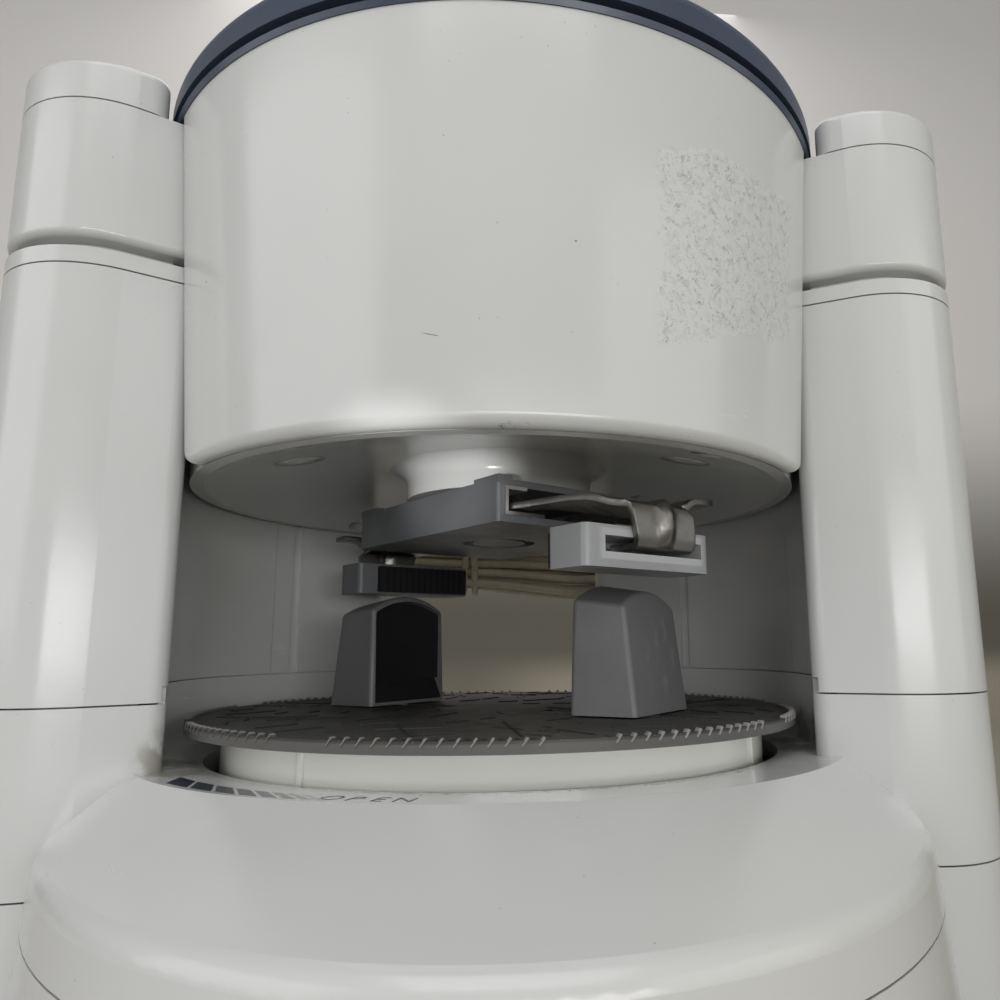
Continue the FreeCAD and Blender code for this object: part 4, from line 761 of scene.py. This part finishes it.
# Depth of the hank below its top, at its left end, its tie and its right end.
HANK_DEPTHS = (0.0146, 0.0184, 0.0250)
RUN_SHARES = (0.10, 0.28, 0.46, 0.64, 0.82)
LANE_SHARES = (0.0, 0.14, 0.04)
NEST_SHARE = 0.29             # of the hank's height, between one turn and the next inside it
NEST_LEFT, NEST_RIGHT, LANE_RIGHT = 0.004, 0.005, 0.0015
HANK_WAVE = 0.0006
WAVE_STEP, WAVE_START = 2.1, 0.4                # radians, from turn to turn
WAVE_BELOW, WAVE_ABOVE = 9, 8                   # radians along a run
FOLD_SHARE, FOLD_START = 0.2, 0.15
TIE_PINCH, TIE_REACH = 0.0012, 0.010
WRAP_SHARE = 0.42             # half thickness of a wrap, in cord diameters
WRAP_OFFSET = 0.0017
WRAP_LEAN = 0.06
# Strain relief: (along, radius) of its neck and collar, then its ribs, which taper.
RELIEF_COLLAR = ((0.0, 0.0), (0.0, 0.0036), (0.0030, 0.0036), (0.0032, 0.0058),
                 (0.0058, 0.0058), (0.0062, 0.0046))
RELIEF_RIBS = 6
RELIEF_RIB_START, RELIEF_RIB_REST = 0.0068, 0.0085
RELIEF_RIB_SHARES = (0.55, 0.62, 0.93)          # of the pitch: rib's end, groove's two ends
RELIEF_INSET = 0.0005         # from the solid's inner end to the sleeve's
RELIEF_RIB_RADIUS, RELIEF_TAPER, RELIEF_GROOVE = 0.0044, 0.0016, 0.0006
RELIEF_TIP = ((-0.0016, 0.0027), (0.0, 0.0024), (0.0, 0.0))


class JAROPENER_OT_cord(bpy.types.Operator):
    """Make the mains cord, folded into a hank and tied, with its strain relief and plug"""
    bl_idname = "jar_opener.cord"
    bl_label = "Cord"

    def execute(self, context):
        material = cord_material()
        points = [Vector(p) * MM for p in LEAD_ROUTE]
        for turn in range(HANK_TURNS):
            points += self.hank_turn(turn)
        points += [Vector(p) * MM for p in TAIL_ROUTE]
        cord = self.make_cord(points, material)
        tie = self.make_tie(material)
        relief = self.make_relief(material)
        dress(material, "plug")
        line_length(cord.data)
        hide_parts("cord_lead", "cord_hank", "cord_tail")
        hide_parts("cord_tie")
        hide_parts("strain_relief")
        return {"FINISHED"}

    @staticmethod
    def underside(x):
        """The hank's lower edge at x, which falls towards the right."""
        at_left, at_tie, at_right = (HANK_HIGH.z - depth for depth in HANK_DEPTHS)
        if x < TIE_X:
            return at_left + (at_tie - at_left) * (x - HANK_LOW.x) / (TIE_X - HANK_LOW.x)
        return at_tie + (at_right - at_tie) * (x - TIE_X) / (HANK_HIGH.x - TIE_X)

    def row(self, x, share):
        """Height of a run at x; share 0 lies on the hank's lower edge and 1 at its top."""
        half = sizes().strand / 2.0
        low = self.underside(x) + half
        high = HANK_HIGH.z - half
        pinch = TIE_PINCH * math.exp(-((x - TIE_X) / TIE_REACH) ** 2)
        return low + pinch + (high - low - 2.0 * pinch) * share

    def hank_turn(self, turn):
        """One turn of the hank: a lower run to the left, a fold, and an upper run back."""
        lane, nest = turn % HANK_LANES, turn // HANK_LANES
        share = LANE_SHARES[lane] + nest * NEST_SHARE
        left = HANK_LOW.x + HANK_END + nest * NEST_LEFT
        right = HANK_HIGH.x - HANK_END - nest * NEST_RIGHT - lane * LANE_RIGHT
        wave = HANK_WAVE * math.sin(WAVE_STEP * turn + WAVE_START)
        y, y_up = self.lane_depth(turn), self.lane_depth(turn + 1)
        points = []
        for along in reversed(RUN_SHARES):
            x = left + (right - left) * along
            z = self.row(x, share) + wave * math.sin(WAVE_BELOW * along)
            points.append(Vector((x, y, z)))
        low, high = self.row(left, share), self.row(left, 1.0 - share)
        points.append(Vector((left, y, low + (high - low) * FOLD_SHARE)))
        points.append(Vector((left, (y + y_up) / 2.0, high - (high - low) * FOLD_SHARE)))
        for along in RUN_SHARES:
            x = left + (right - left) * along
            z = self.row(x, 1.0 - share) - wave * math.sin(WAVE_ABOVE * along)
            points.append(Vector((x, y_up, z)))
        if turn + 1 < HANK_TURNS:
            low, high = self.row(right, share), self.row(right, 1.0 - share)
            points.append(Vector((right, y_up, high - (high - low) * FOLD_START)))
            points.append(Vector((right, y_up, low + (high - low) * FOLD_SHARE)))
        return points

    @staticmethod
    def lane_depth(turn):
        """Depth of a turn's lane; the last run leaves along the middle."""
        if turn == HANK_TURNS:
            return (HANK_LOW.y + HANK_HIGH.y) / 2.0
        depth = HANK_HIGH.y - HANK_LOW.y - sizes().strand
        lane = turn % HANK_LANES
        return HANK_HIGH.y - sizes().strand / 2.0 - depth * lane / (HANK_LANES - 1)

    @staticmethod
    def make_cord(points, material):
        data = bpy.data.curves.new("cord", "CURVE")
        data.dimensions = "3D"
        data.bevel_depth = sizes().strand / 2.0
        data.bevel_resolution = 4
        data.use_fill_caps = True
        data.resolution_u = 8
        spline = data.splines.new("NURBS")
        spline.points.add(len(points) - 1)
        for point, place in zip(spline.points, points):
            point.co = (*place, 1.0)
        spline.order_u = 3
        spline.use_endpoint_u = True
        return add_object("cord", data, material, "base")

    def make_tie(self, material):
        """Two wraps of the same cord round the hank."""
        bm = bmesh.new()
        strand = sizes().strand
        thick = strand * WRAP_SHARE
        half_y = (TIE_HIGH.y - TIE_LOW.y) / 2.0 - thick
        for side in (-1, 1):
            x = TIE_X + WRAP_OFFSET * side
            low = self.row(x, 0.0) - strand / 2.0 - thick
            high = self.row(x, 1.0) + strand / 2.0 + thick
            centre = Vector((x, (TIE_LOW.y + TIE_HIGH.y) / 2.0, (low + high) / 2.0))
            wrap = bmesh.new()
            ring = bmesh.ops.create_circle(wrap, cap_ends=False, radius=thick, segments=10)
            for vert in ring["verts"]:
                vert.co = Vector((vert.co.x, half_y + vert.co.y, 0.0))
            bmesh.ops.spin(wrap, geom=ring["verts"] + list(wrap.edges), axis=(1, 0, 0),
                           cent=(0, 0, 0), angle=math.tau, steps=40, use_merge=True)
            bmesh.ops.scale(wrap, vec=(1.0, 1.0, (high - low) / 2.0 / half_y), verts=wrap.verts)
            lean = Matrix.Rotation(-WRAP_LEAN * side, 4, "Y")
            bmesh.ops.transform(wrap, matrix=Matrix.Translation(centre) @ lean,
                                verts=wrap.verts)
            mesh = mesh_from(wrap, "wrap")
            bm.from_mesh(mesh)
            bpy.data.meshes.remove(mesh)
        return add_object("cord_tie_wraps", mesh_from(bm, "cord_tie_wraps"), material, "base")

    @staticmethod
    def make_relief(material):
        """Tapered strain relief with a collar and ribs, from the column's wall outwards."""
        low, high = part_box("strain_relief")
        start = low.x + RELIEF_INSET
        length = high.x - start
        profile = list(RELIEF_COLLAR)
        pitch = (length - RELIEF_RIB_REST) / RELIEF_RIBS
        for rib in range(RELIEF_RIBS):
            along = RELIEF_RIB_START + pitch * rib
            radius = RELIEF_RIB_RADIUS - RELIEF_TAPER * rib / RELIEF_RIBS
            stops = [along] + [along + pitch * share for share in RELIEF_RIB_SHARES]
            groove = radius - RELIEF_GROOVE
            profile += zip(stops, (radius, radius, groove, groove))
        profile += [(length + along, radius) for along, radius in RELIEF_TIP]
        bm = bmesh.new()
        verts = [bm.verts.new((start + along, 0.0, radius)) for along, radius in profile]
        edges = [bm.edges.new(pair) for pair in zip(verts, verts[1:])]
        bmesh.ops.spin(bm, geom=verts + edges, axis=(1, 0, 0), cent=(0, 0, 0), angle=math.tau,
                       steps=32, use_merge=True)
        across, up = (c * MM for c in LEAD_ROUTE[0][1:])
        bmesh.ops.translate(bm, vec=(0.0, across, up), verts=bm.verts)
        return add_object("strain_relief_sleeve", mesh_from(bm, "strain_relief_sleeve"),
                          material, "base")


# ---- covers -------------------------------------------------------------------------
class JAROPENER_OT_covers(bpy.types.Operator):
    """Finish the white covers of the base, the columns, the shoulders and the head"""
    bl_idname = "jar_opener.covers"
    bl_label = "Covers"

    def execute(self, context):
        dress(shell_material(), "base_tray", "column_front_left", "column_front_right",
              "column_rear_left", "column_rear_right", "column_caps", "shoulder_left",
              "shoulder_right", "shoulder_tops", "cord_hooks")
        dress(underside_material(), "head_underside")
        dress(drum_material(), "turntable_drum")
        dress(base_material(), "base_cover")
        dress(head_front_material(), "head_front_shell")
        dress(inner_material(), "head_drum", "head_slides")
        dress(rubber_material(), "rubber_feet")
        return {"FINISHED"}


class JAROPENER_OT_cap(bpy.types.Operator):
    """Finish the slate blue top cap that is pressed to start, and its rim band"""
    bl_idname = "jar_opener.cap"
    bl_label = "Top Cap"

    def execute(self, context):
        dress(cap_material(), "top_button", "rim_band")
        return {"FINISHED"}


# ---- turntable ----------------------------------------------------------------------
# Rings of short ribs: radius and how many; their lengths and turns are dealt out in order.
RIB_RINGS = ((0.0160, 5), (0.0235, 7), (0.0310, 9), (0.0385, 11), (0.0460, 14),
             (0.0535, 17), (0.0610, 19), (0.0670, 22))
RIB_LENGTHS = (0.0060, 0.0105, 0.0080, 0.0135, 0.0050, 0.0092)
RIB_TURNS = (8.0, 42.0, -35.0, 70.0, -62.0)
RING_TURN = 17.0
WIDE_RIB = 0.6                # every third rib is wider by this share
RIB_CROWN = (0.94, 0.60)      # length and width of a rib's top against its foot
RIB_REACH = 0.0700            # no rib goes past this radius
SLOT_CLEARANCE = 0.0040       # nor nearer to the middle of the jaws' slots
# Long marks of the mat from point to point, in mm, repeated round it.
LONG_RIBS = (((-0.1, -39.0), (2.4, -69.5)), ((9.4, -57.7), (15.6, -68.4)),
             ((23.7, -59.6), (29.7, -62.0)), ((7.2, -51.5), (8.8, -53.8)),
             ((-22.0, -42.0), (-17.5, -66.0)), ((-36.0, -44.0), (-44.0, -52.0)),
             ((33.0, -30.0), (52.0, -41.0)), ((-48.0, -18.0), (-66.0, -15.0)))
LONG_REPEATS = 3
TOOTH_START = -25.1           # azimuth of the first fin of a group
TOOTH_PITCH = 2.25
FIN_LEAN = 52.0               # of the fins at the rim, from level
FIN_SIZE = (0.0018, 0.0016, 0.00045)
FIN_INSET, FIN_DROP = 0.0006, 0.0002
PIT_INSET = 0.0007
PIT_WIDTH, PIT_HEIGHT = 0.0011, 0.00008
PIT_SHARE = 0.7               # of a tooth's length
PIT_TURN = 0.9                # degrees from its fin
JAW_HEADING = -37.7           # heading of the jaws' slots, from +X
DRUM_RADIUS = 0.0660
DRUM_RIBS = (-35.6, 54.4, 144.4, 234.4)
DRUM_RIB_DEPTH, DRUM_RIB_WIDTH = 0.0017, 0.0012
DRUM_RIB_EDGE = 0.0004
DRUM_RIB_GAP = 0.0006         # left bare of the drum's height


class JAROPENER_OT_mat(bpy.types.Operator):
    """Finish the turntable: its mat, the mat's dark ribs and rim fins, and the drum's ribs"""
    bl_idname = "jar_opener.mat"
    bl_label = "Turntable"

    def execute(self, context):
        dress(mat_material(), "turntable_mat")
        self.make_ribs()
        self.make_teeth()
        self.make_drum_ribs()
        return {"FINISHED"}

    @staticmethod
    def bar(bm, size, matrix):
        """A low bar with drawn-in upper edges."""
        verts = bmesh.ops.create_cube(bm, size=1.0)["verts"]
        bmesh.ops.scale(bm, vec=size, verts=verts)
        for vert in verts:
            if vert.co.z > 0.0:
                vert.co.x *= RIB_CROWN[0]
                vert.co.y *= RIB_CROWN[1]
        bmesh.ops.transform(bm, matrix=matrix, verts=verts)

    def make_ribs(self):
        bm = bmesh.new()
        across = heading_turn(JAW_HEADING, 3) @ Vector((0.0, 1.0, 0.0))
        for ring, (radius, ribs) in enumerate(RIB_RINGS):
            for index in range(ribs):
                azimuth = 360.0 * index / ribs + RING_TURN * ring
                spot = polar(radius, azimuth)
                length = RIB_LENGTHS[(index * 5 + ring * 3) % len(RIB_LENGTHS)]
                turn = azimuth - 90.0 + RIB_TURNS[(index * 2 + ring * 3) % len(RIB_TURNS)]
                tip = heading_turn(turn, 3) @ Vector((length / 2.0, 0.0, 0.0))
                stops = (spot - tip, spot, spot + tip)
                if min(abs(p.dot(across)) for p in stops) < SLOT_CLEARANCE:
                    continue
                if max(p.length for p in stops) > RIB_REACH:
                    continue
                wide = (index + ring) % 3 == 0
                self.rib(bm, spot, turn, length, 1.0 + WIDE_RIB * wide)
        for repeat in range(LONG_REPEATS):
            whole = heading_turn(360.0 * repeat / LONG_REPEATS)
            for ends in LONG_RIBS:
                start, end = (whole @ Vector((*p, 0.0)) * MM for p in ends)
                if min(abs(p.dot(across)) for p in (start, end)) < SLOT_CLEARANCE:
                    continue
                turn = math.degrees(math.atan2(end.y - start.y, end.x - start.x))
                self.rib(bm, (start + end) / 2.0, turn, (end - start).length)
        add_object("mat_ribs", mesh_from(bm, "mat_ribs", False), rib_material(), "turntable")

    def rib(self, bm, middle, turn, length, widen=1.0):
        values = sizes()
        matrix = Matrix.Translation((middle.x, middle.y, MAT_TOP)) @ heading_turn(turn)
        self.bar(bm, (length, values.rib_width * widen, values.rib_height * 2.0), matrix)

    def make_teeth(self):
        values = sizes()
        fins = bmesh.new()
        pits = bmesh.new()
        lean = Matrix.Rotation(math.radians(-FIN_LEAN), 4, "Y")
        pit = (values.tooth_length * PIT_SHARE, PIT_WIDTH, PIT_HEIGHT)
        middle = MAT_RADIUS - PIT_INSET - values.tooth_length / 2.0
        for group in range(values.tooth_groups):
            for index in range(values.teeth):
                azimuth = TOOTH_START + 360.0 * group / values.tooth_groups
                azimuth += TOOTH_PITCH * index
                spot = polar(MAT_RADIUS - FIN_INSET, azimuth, MAT_TOP - FIN_DROP)
                self.bar(fins, FIN_SIZE, Matrix.Translation(spot) @ heading_turn(azimuth) @ lean)
                spot = polar(middle, azimuth - PIT_TURN, MAT_TOP)
                self.bar(pits, pit, Matrix.Translation(spot) @ heading_turn(azimuth - 90.0))
        add_object("mat_rim_fins", mesh_from(fins, "mat_rim_fins", False), fin_material(),
                   "turntable")
        # The notches take the ribs' darker colour: painted shade.
        add_object("mat_rim_pits", mesh_from(pits, "mat_rim_pits", False), rib_material(),
                   "turntable")

    @staticmethod
    def make_drum_ribs():
        low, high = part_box("turntable_drum")
        bm = bmesh.new()
        for azimuth in DRUM_RIBS:
            spot = polar(DRUM_RADIUS, azimuth, (low.z + high.z) / 2.0)
            verts = bmesh.ops.create_cube(bm, size=1.0)["verts"]
            size = (DRUM_RIB_DEPTH, DRUM_RIB_WIDTH, high.z - low.z - DRUM_RIB_GAP)
            bmesh.ops.scale(bm, vec=size, verts=verts)
            bmesh.ops.transform(bm, matrix=Matrix.Translation(spot) @ heading_turn(azimuth),
                                verts=verts)
        upright = [e for e in bm.edges if e.verts[0].co.xy == e.verts[1].co.xy]
        bmesh.ops.bevel(bm, geom=upright, offset=DRUM_RIB_EDGE, segments=3, affect="EDGES",
                        profile=0.5, material=-1)
        add_object("drum_ribs", mesh_from(bm, "drum_ribs"), drum_material(), "turntable")


# ---- print on the ledge -------------------------------------------------------------
LEDGE_OUTER = 0.0845
LEDGE_TOP = 0.0539
LEDGE_FALL = 0.0009 / 0.015
BAR_START = -48.3             # azimuth of the first bar's outer corner
BAR_OUTER, BAR_INNER = 0.0829, 0.0776
BAR_WIDTH = 5.4               # degrees of the first bar
BAR_SHRINK = 0.80
BAR_GAP = 0.75
BAR_SLANT = -5.2
BAR_TONES = (0.0, 0.03, 0.14, 0.30, 0.45, 0.60, 0.72, 0.84)      # from ink to bare
WORD = "OPEN"
WORD_INK = (0.10, 0.10, 0.105)
WORD_START = -21.6
LETTER_PITCH = 3.05
LETTER_FOOT = 0.0817
LETTER_CAP_SHARE = 0.73       # of the type's size
LETTER_NARROW = 0.66
LETTER_THIN = -0.00004


class JAROPENER_OT_ledge_print(bpy.types.Operator):
    """Print the fading bars and the word that shows the turning direction"""
    bl_idname = "jar_opener.ledge_print"
    bl_label = "Ledge Print"

    def execute(self, context):
        self.make_bars()
        self.make_word()
        return {"FINISHED"}

    @staticmethod
    def on_ledge(radius, azimuth):
        height = LEDGE_TOP - LEDGE_FALL * (LEDGE_OUTER - radius) + sizes().print_thickness
        return polar(radius, azimuth, height)

    def make_bars(self):
        azimuth = BAR_START
        width = BAR_WIDTH
        for index, share in enumerate(BAR_TONES):
            tone = tuple(a + (b - a) * share for a, b in zip(colours().print_ink, colours().shell))
            bm = bmesh.new()
            bmesh.ops.create_grid(bm, x_segments=4, y_segments=1, size=0.5)
            for vert in bm.verts:
                outer = vert.co.y < 0.0
                angle = azimuth + (vert.co.x + 0.5) * width + (0.0 if outer else BAR_SLANT)
                vert.co = self.on_ledge(BAR_OUTER if outer else BAR_INNER, angle)
            name = f"ledge_bar_{index + 1}"
            add_object(name, self.thin(bm, name), ink_material(name, tone), "base")
            azimuth += width + BAR_GAP
            width *= BAR_SHRINK

    @staticmethod
    def thin(bm, name):
        """Closes a flat print into a very thin slab."""
        bmesh.ops.recalc_face_normals(bm, faces=bm.faces)
        flat = list(bm.faces)
        if sum(face.normal.z for face in flat) < 0.0:
            bmesh.ops.reverse_faces(bm, faces=flat)
        bmesh.ops.solidify(bm, geom=flat, thickness=sizes().print_thickness)
        return mesh_from(bm, name, False)

    def make_word(self):
        material = ink_material("ledge_ink", WORD_INK)
        for index, letter in enumerate(WORD):
            bm = self.letter_shape(letter)
            for vert in bm.verts:
                radius = LETTER_FOOT - vert.co.y
                angle = math.degrees(vert.co.x * LETTER_NARROW / radius)
                vert.co = self.on_ledge(radius, WORD_START + LETTER_PITCH * index + angle)
            name = f"ledge_letter_{index + 1}"
            add_object(name, self.thin(bm, name), material, "base")

    @staticmethod
    def letter_shape(letter):
        data = bpy.data.curves.new("letter", "FONT")
        data.body = letter
        data.align_x = "CENTER"
        data.size = sizes().letter_height / LETTER_CAP_SHARE
        data.resolution_u = 6
        data.offset = LETTER_THIN
        source = bpy.data.objects.new("letter", data)
        mesh = bpy.data.meshes.new_from_object(source)
        bpy.data.objects.remove(source)
        bpy.data.curves.remove(data)
        bm = bmesh.new()
        bm.from_mesh(mesh)
        bpy.data.meshes.remove(mesh)
        return bm


# ---- jar jaws and lid gripper ---------------------------------------------------------
class JAROPENER_OT_jaws(bpy.types.Operator):
    """Finish the two sliding jar jaws and their rubber pads"""
    bl_idname = "jar_opener.jaws"
    bl_label = "Jar Jaws"

    def execute(self, context):
        dress(jaw_material(), "jar_jaw_left", "jar_jaw_right")
        dress(rubber_material(), "jar_pad_left", "jar_pad_right")
        return {"FINISHED"}


ARM_THICKNESS = 0.0014
ARM_COLUMNS = 36
ARM_RIB_MIDDLE = 0.0032
ARM_RIB_HALF = 0.0031
ARM_RIB_HEIGHT = 0.0015
ARM_RIM = 0.00022
ARM_RIM_ANGLE = math.radians(60.0)
# The arm's toothed strip, in mm: where it starts, its outer face, its edges, its teeth.
STRIP_START, STRIP_TOP = -19.0, 109.0
STRIP_NEAR, STRIP_FAR = -21.2, -15.0
TOOTH_HALF_STEP, TOOTH_DEPTH = 1.8, 1.6
# One row across the arm: (out from the axis, height of its outer face, near edge, far edge,
# share of the pressed rib), in mm.
ARM_PLATE = ((33.0, 109.0, -21.2, -15.0, 0.0), (37.3, 109.2, -19.0, -15.0, 0.0),
             (37.9, 109.3, -18.7, 14.6, 0.0), (40.0, 109.6, -17.0, 14.6, 0.0),
             (45.0, 110.1, -14.0, 14.6, 0.0), (48.0, 110.1, -12.0, 14.4, 0.0),
             (50.4, 109.6, -10.5, 13.0, 0.0), (52.5, 108.7, -9.2, 10.9, 0.15),
             (54.7, 108.15, -8.2, 10.9, 0.7), (56.3, 108.0, -7.6, 10.9, 1.0),
             (57.3, 107.2, -7.2, 10.9, 1.0), (57.7, 105.6, -6.9, 12.5, 1.0),
             (57.8, 103.0, -6.3, 12.5, 1.0), (57.7, 101.0, -5.8, 12.5, 0.8),
             (57.6, 99.4, -5.4, 12.5, 0.15), (57.1, 98.3, -5.3, 12.4, 0.0),
             (56.0, 97.7, -5.2, 12.3, 0.0), (52.0, 97.7, -5.2, 12.3, 0.0),
             (48.5, 97.7, -5.2, 12.3, 0.0))
# Past BEND_OUT and below BEND_TOP the pressed rib leans outwards, and below BEND_FOOT it swells
# straight outwards, in mm.
BEND_OUT, BEND_TOP, BEND_FOOT = 57.2, 106.9, 106.0
# Side tab of the arm: (across, height of its upper face), in mm, and its reach outwards.
ARM_TAB = ((10.0, 108.5), (11.6, 108.9), (13.0, 109.9), (14.4, 110.6), (17.0, 110.8),
           (20.8, 110.8))
ARM_TAB_REACH = (50.2, 53.2, 56.2)


class JAROPENER_OT_gripper(bpy.types.Operator):
    """Finish the lid gripper: housing, liners, arms, holders and pads"""
    bl_idname = "jar_opener.gripper"
    bl_label = "Lid Gripper"

    def execute(self, context):
        # The rear pad holder takes the housing's darker grey, not the front holder's light grey:
        # painted shade under the housing.
        dress(gripper_material(), "gripper_housing", "pad_holder_rear")
        dress(steel_material("bright_steel", LINER_SHADE), "gripper_liners")
        dress(holder_material(), "pad_holder_front")
        dress(rubber_material(), "lid_pad_front", "lid_pad_rear")
        steel = steel_material()
        for side, turn in (("front", GRIPPER_HEADING), ("rear", GRIPPER_HEADING + 180.0)):
            name = f"bent_arm_{side}"
            arm = add_object(name, self.arm_mesh(name, turn), steel, f"lid_jaw_{side}")
            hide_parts(f"grip_arm_{side}")
        return {"FINISHED"}

    @staticmethod
    def sheet(bm, rows):
        """A bent sheet through rows of points on its outer face, thickened inwards."""
        along, across = len(rows) - 1, len(rows[0]) - 1
        verts = bmesh.ops.create_grid(bm, x_segments=along, y_segments=across, size=0.5)["verts"]
        for vert in verts:
            row = round((vert.co.x + 0.5) * along)
            column = round((vert.co.y + 0.5) * across)
            vert.co = rows[row][column]
        faces = list({face for vert in verts for face in vert.link_faces})
        bmesh.ops.recalc_face_normals(bm, faces=faces)
        highest = max(faces, key=lambda face: face.calc_center_median().z)
        highest.normal_update()
        if highest.normal.z < 0.0:
            bmesh.ops.reverse_faces(bm, faces=faces)
        bmesh.ops.solidify(bm, geom=faces, thickness=ARM_THICKNESS)

    @staticmethod
    def strip_rows():
        """Rows of the strip, whose far edge goes in and out as the rack's teeth."""
        count = int((ARM_PLATE[0][0] - STRIP_START) / TOOTH_HALF_STEP)
        return [(STRIP_START + TOOTH_HALF_STEP * index, STRIP_TOP, STRIP_NEAR,
                 STRIP_FAR - TOOTH_DEPTH * (index % 2), 0.0) for index in range(count)]

    @staticmethod
    def arm_row(x, z, near, far, share):
        """Points across the arm; the pressed rib swells outwards, which is up on the plate."""
        swell = Vector((0.0, 0.0, 1.0))
        if share > 0.9 or (x > BEND_OUT and z < BEND_TOP):
            swell = Vector((1.0, 0.0, 0.0)) if z < BEND_FOOT else Vector((0.7, 0.0, 0.7))
        row = []
        for step in range(ARM_COLUMNS + 1):
            y = (near + (far - near) * step / ARM_COLUMNS) * MM
            off = min(1.0, abs(y - ARM_RIB_MIDDLE) / ARM_RIB_HALF)
            bulge = share * ARM_RIB_HEIGHT * (0.5 + 0.5 * math.cos(math.pi * off))
            row.append(Vector((x * MM, y, z * MM)) + swell * bulge)
        return row

    def arm_mesh(self, name, turn):
        bm = bmesh.new()
        self.sheet(bm, [self.arm_row(*row) for row in (*self.strip_rows(), *ARM_PLATE)])
        self.sheet(bm, [[Vector((x, y, z)) * MM for x in ARM_TAB_REACH] for y, z in ARM_TAB])
        rims = [e for e in bm.edges if len(e.link_faces) == 2
                and e.calc_face_angle(0.0) > ARM_RIM_ANGLE]
        bmesh.ops.bevel(bm, geom=rims, offset=ARM_RIM, segments=2, affect="EDGES",
                        profile=0.5, material=-1, clamp_overlap=True)
        bmesh.ops.transform(bm, matrix=heading_turn(turn), verts=bm.verts)
        return mesh_from(bm, name)


# ---- hidden drive -------------------------------------------------------------------
# Mouldings and castings: name, colour, roughness, the nodes made of it.
DRIVE_FINISHES = (
    ("acetal_white", (0.72, 0.71, 0.66), 0.40,
     ("gripper_spindle", "output_gear", "idler_gear", "motor_pinion", "jar_pinion",
      "lid_pinion", "lift_motor_pulley", "lift_nuts")),
    ("bearing_bronze", (0.42, 0.28, 0.12), 0.45, ("spindle_bearing",)),
    ("black_moulding", (0.025, 0.025, 0.026), 0.45,
     ("gear_chassis", "power_switch", "jaw_carrier_plate")),
    ("motor_can", (0.33, 0.33, 0.34), 0.35, ("drive_motor", "lift_motor")),
    ("board_green", (0.03, 0.13, 0.05), 0.35, ("control_board",)),
    ("belt_black", (0.015, 0.015, 0.015), 0.6, ("lift_belt",)))


class JAROPENER_OT_drive(bpy.types.Operator):
    """Finish the hidden drive: motors, gears, screws, belt and circuit board"""
    bl_idname = "jar_opener.drive"
    bl_label = "Drive"

    def execute(self, context):
        dress(turned_steel_material(), "lift_screw_left", "lift_screw_right", "turntable_post",
              "base_screws", "underside_screws", "button_spring")
        for name, colour, roughness, nodes in DRIVE_FINISHES:
            dress(plain_moulding(name, colour, roughness), *nodes)
        return {"FINISHED"}


# ---- panel and run --------------------------------------------------------------------
OPERATORS = (JAROPENER_OT_stage, JAROPENER_OT_cord, JAROPENER_OT_covers, JAROPENER_OT_cap,
             JAROPENER_OT_mat, JAROPENER_OT_ledge_print, JAROPENER_OT_jaws,
             JAROPENER_OT_gripper, JAROPENER_OT_drive)


class JAROPENER_PT_panel(bpy.types.Panel):
    """Lists the steps that dress the jar opener"""
    bl_label = "Jar Opener"
    bl_idname = "JAROPENER_PT_panel"
    bl_space_type = "VIEW_3D"
    bl_region_type = "UI"
    bl_category = "Jar Opener"

    def draw(self, context):
        for operator in OPERATORS:
            self.layout.operator(operator.bl_idname)
        for group in (colours(), sizes(), stage_values()):
            box = self.layout.box()
            for name in group.__annotations__:
                box.prop(group, name)


GROUPS = (JarOpenerColours, JarOpenerSizes, JarOpenerStage)


def register():
    for group in GROUPS + OPERATORS + (JAROPENER_PT_panel,):
        bpy.utils.register_class(group)
    scene_type = bpy.types.Scene
    scene_type.jar_opener_colours = bpy.props.PointerProperty(type=JarOpenerColours)
    scene_type.jar_opener_sizes = bpy.props.PointerProperty(type=JarOpenerSizes)
    scene_type.jar_opener_stage = bpy.props.PointerProperty(type=JarOpenerStage)


def unregister():
    del bpy.types.Scene.jar_opener_stage
    del bpy.types.Scene.jar_opener_sizes
    del bpy.types.Scene.jar_opener_colours
    for group in reversed(GROUPS + OPERATORS + (JAROPENER_PT_panel,)):
        bpy.utils.unregister_class(group)


def main():
    register()
    bpy.ops.jar_opener.stage()
    bpy.ops.jar_opener.cord()
    bpy.ops.jar_opener.covers()
    bpy.ops.jar_opener.cap()
    bpy.ops.jar_opener.mat()
    bpy.ops.jar_opener.ledge_print()
    bpy.ops.jar_opener.jaws()
    bpy.ops.jar_opener.gripper()
    bpy.ops.jar_opener.drive()


if __name__ == "__main__":
    main()
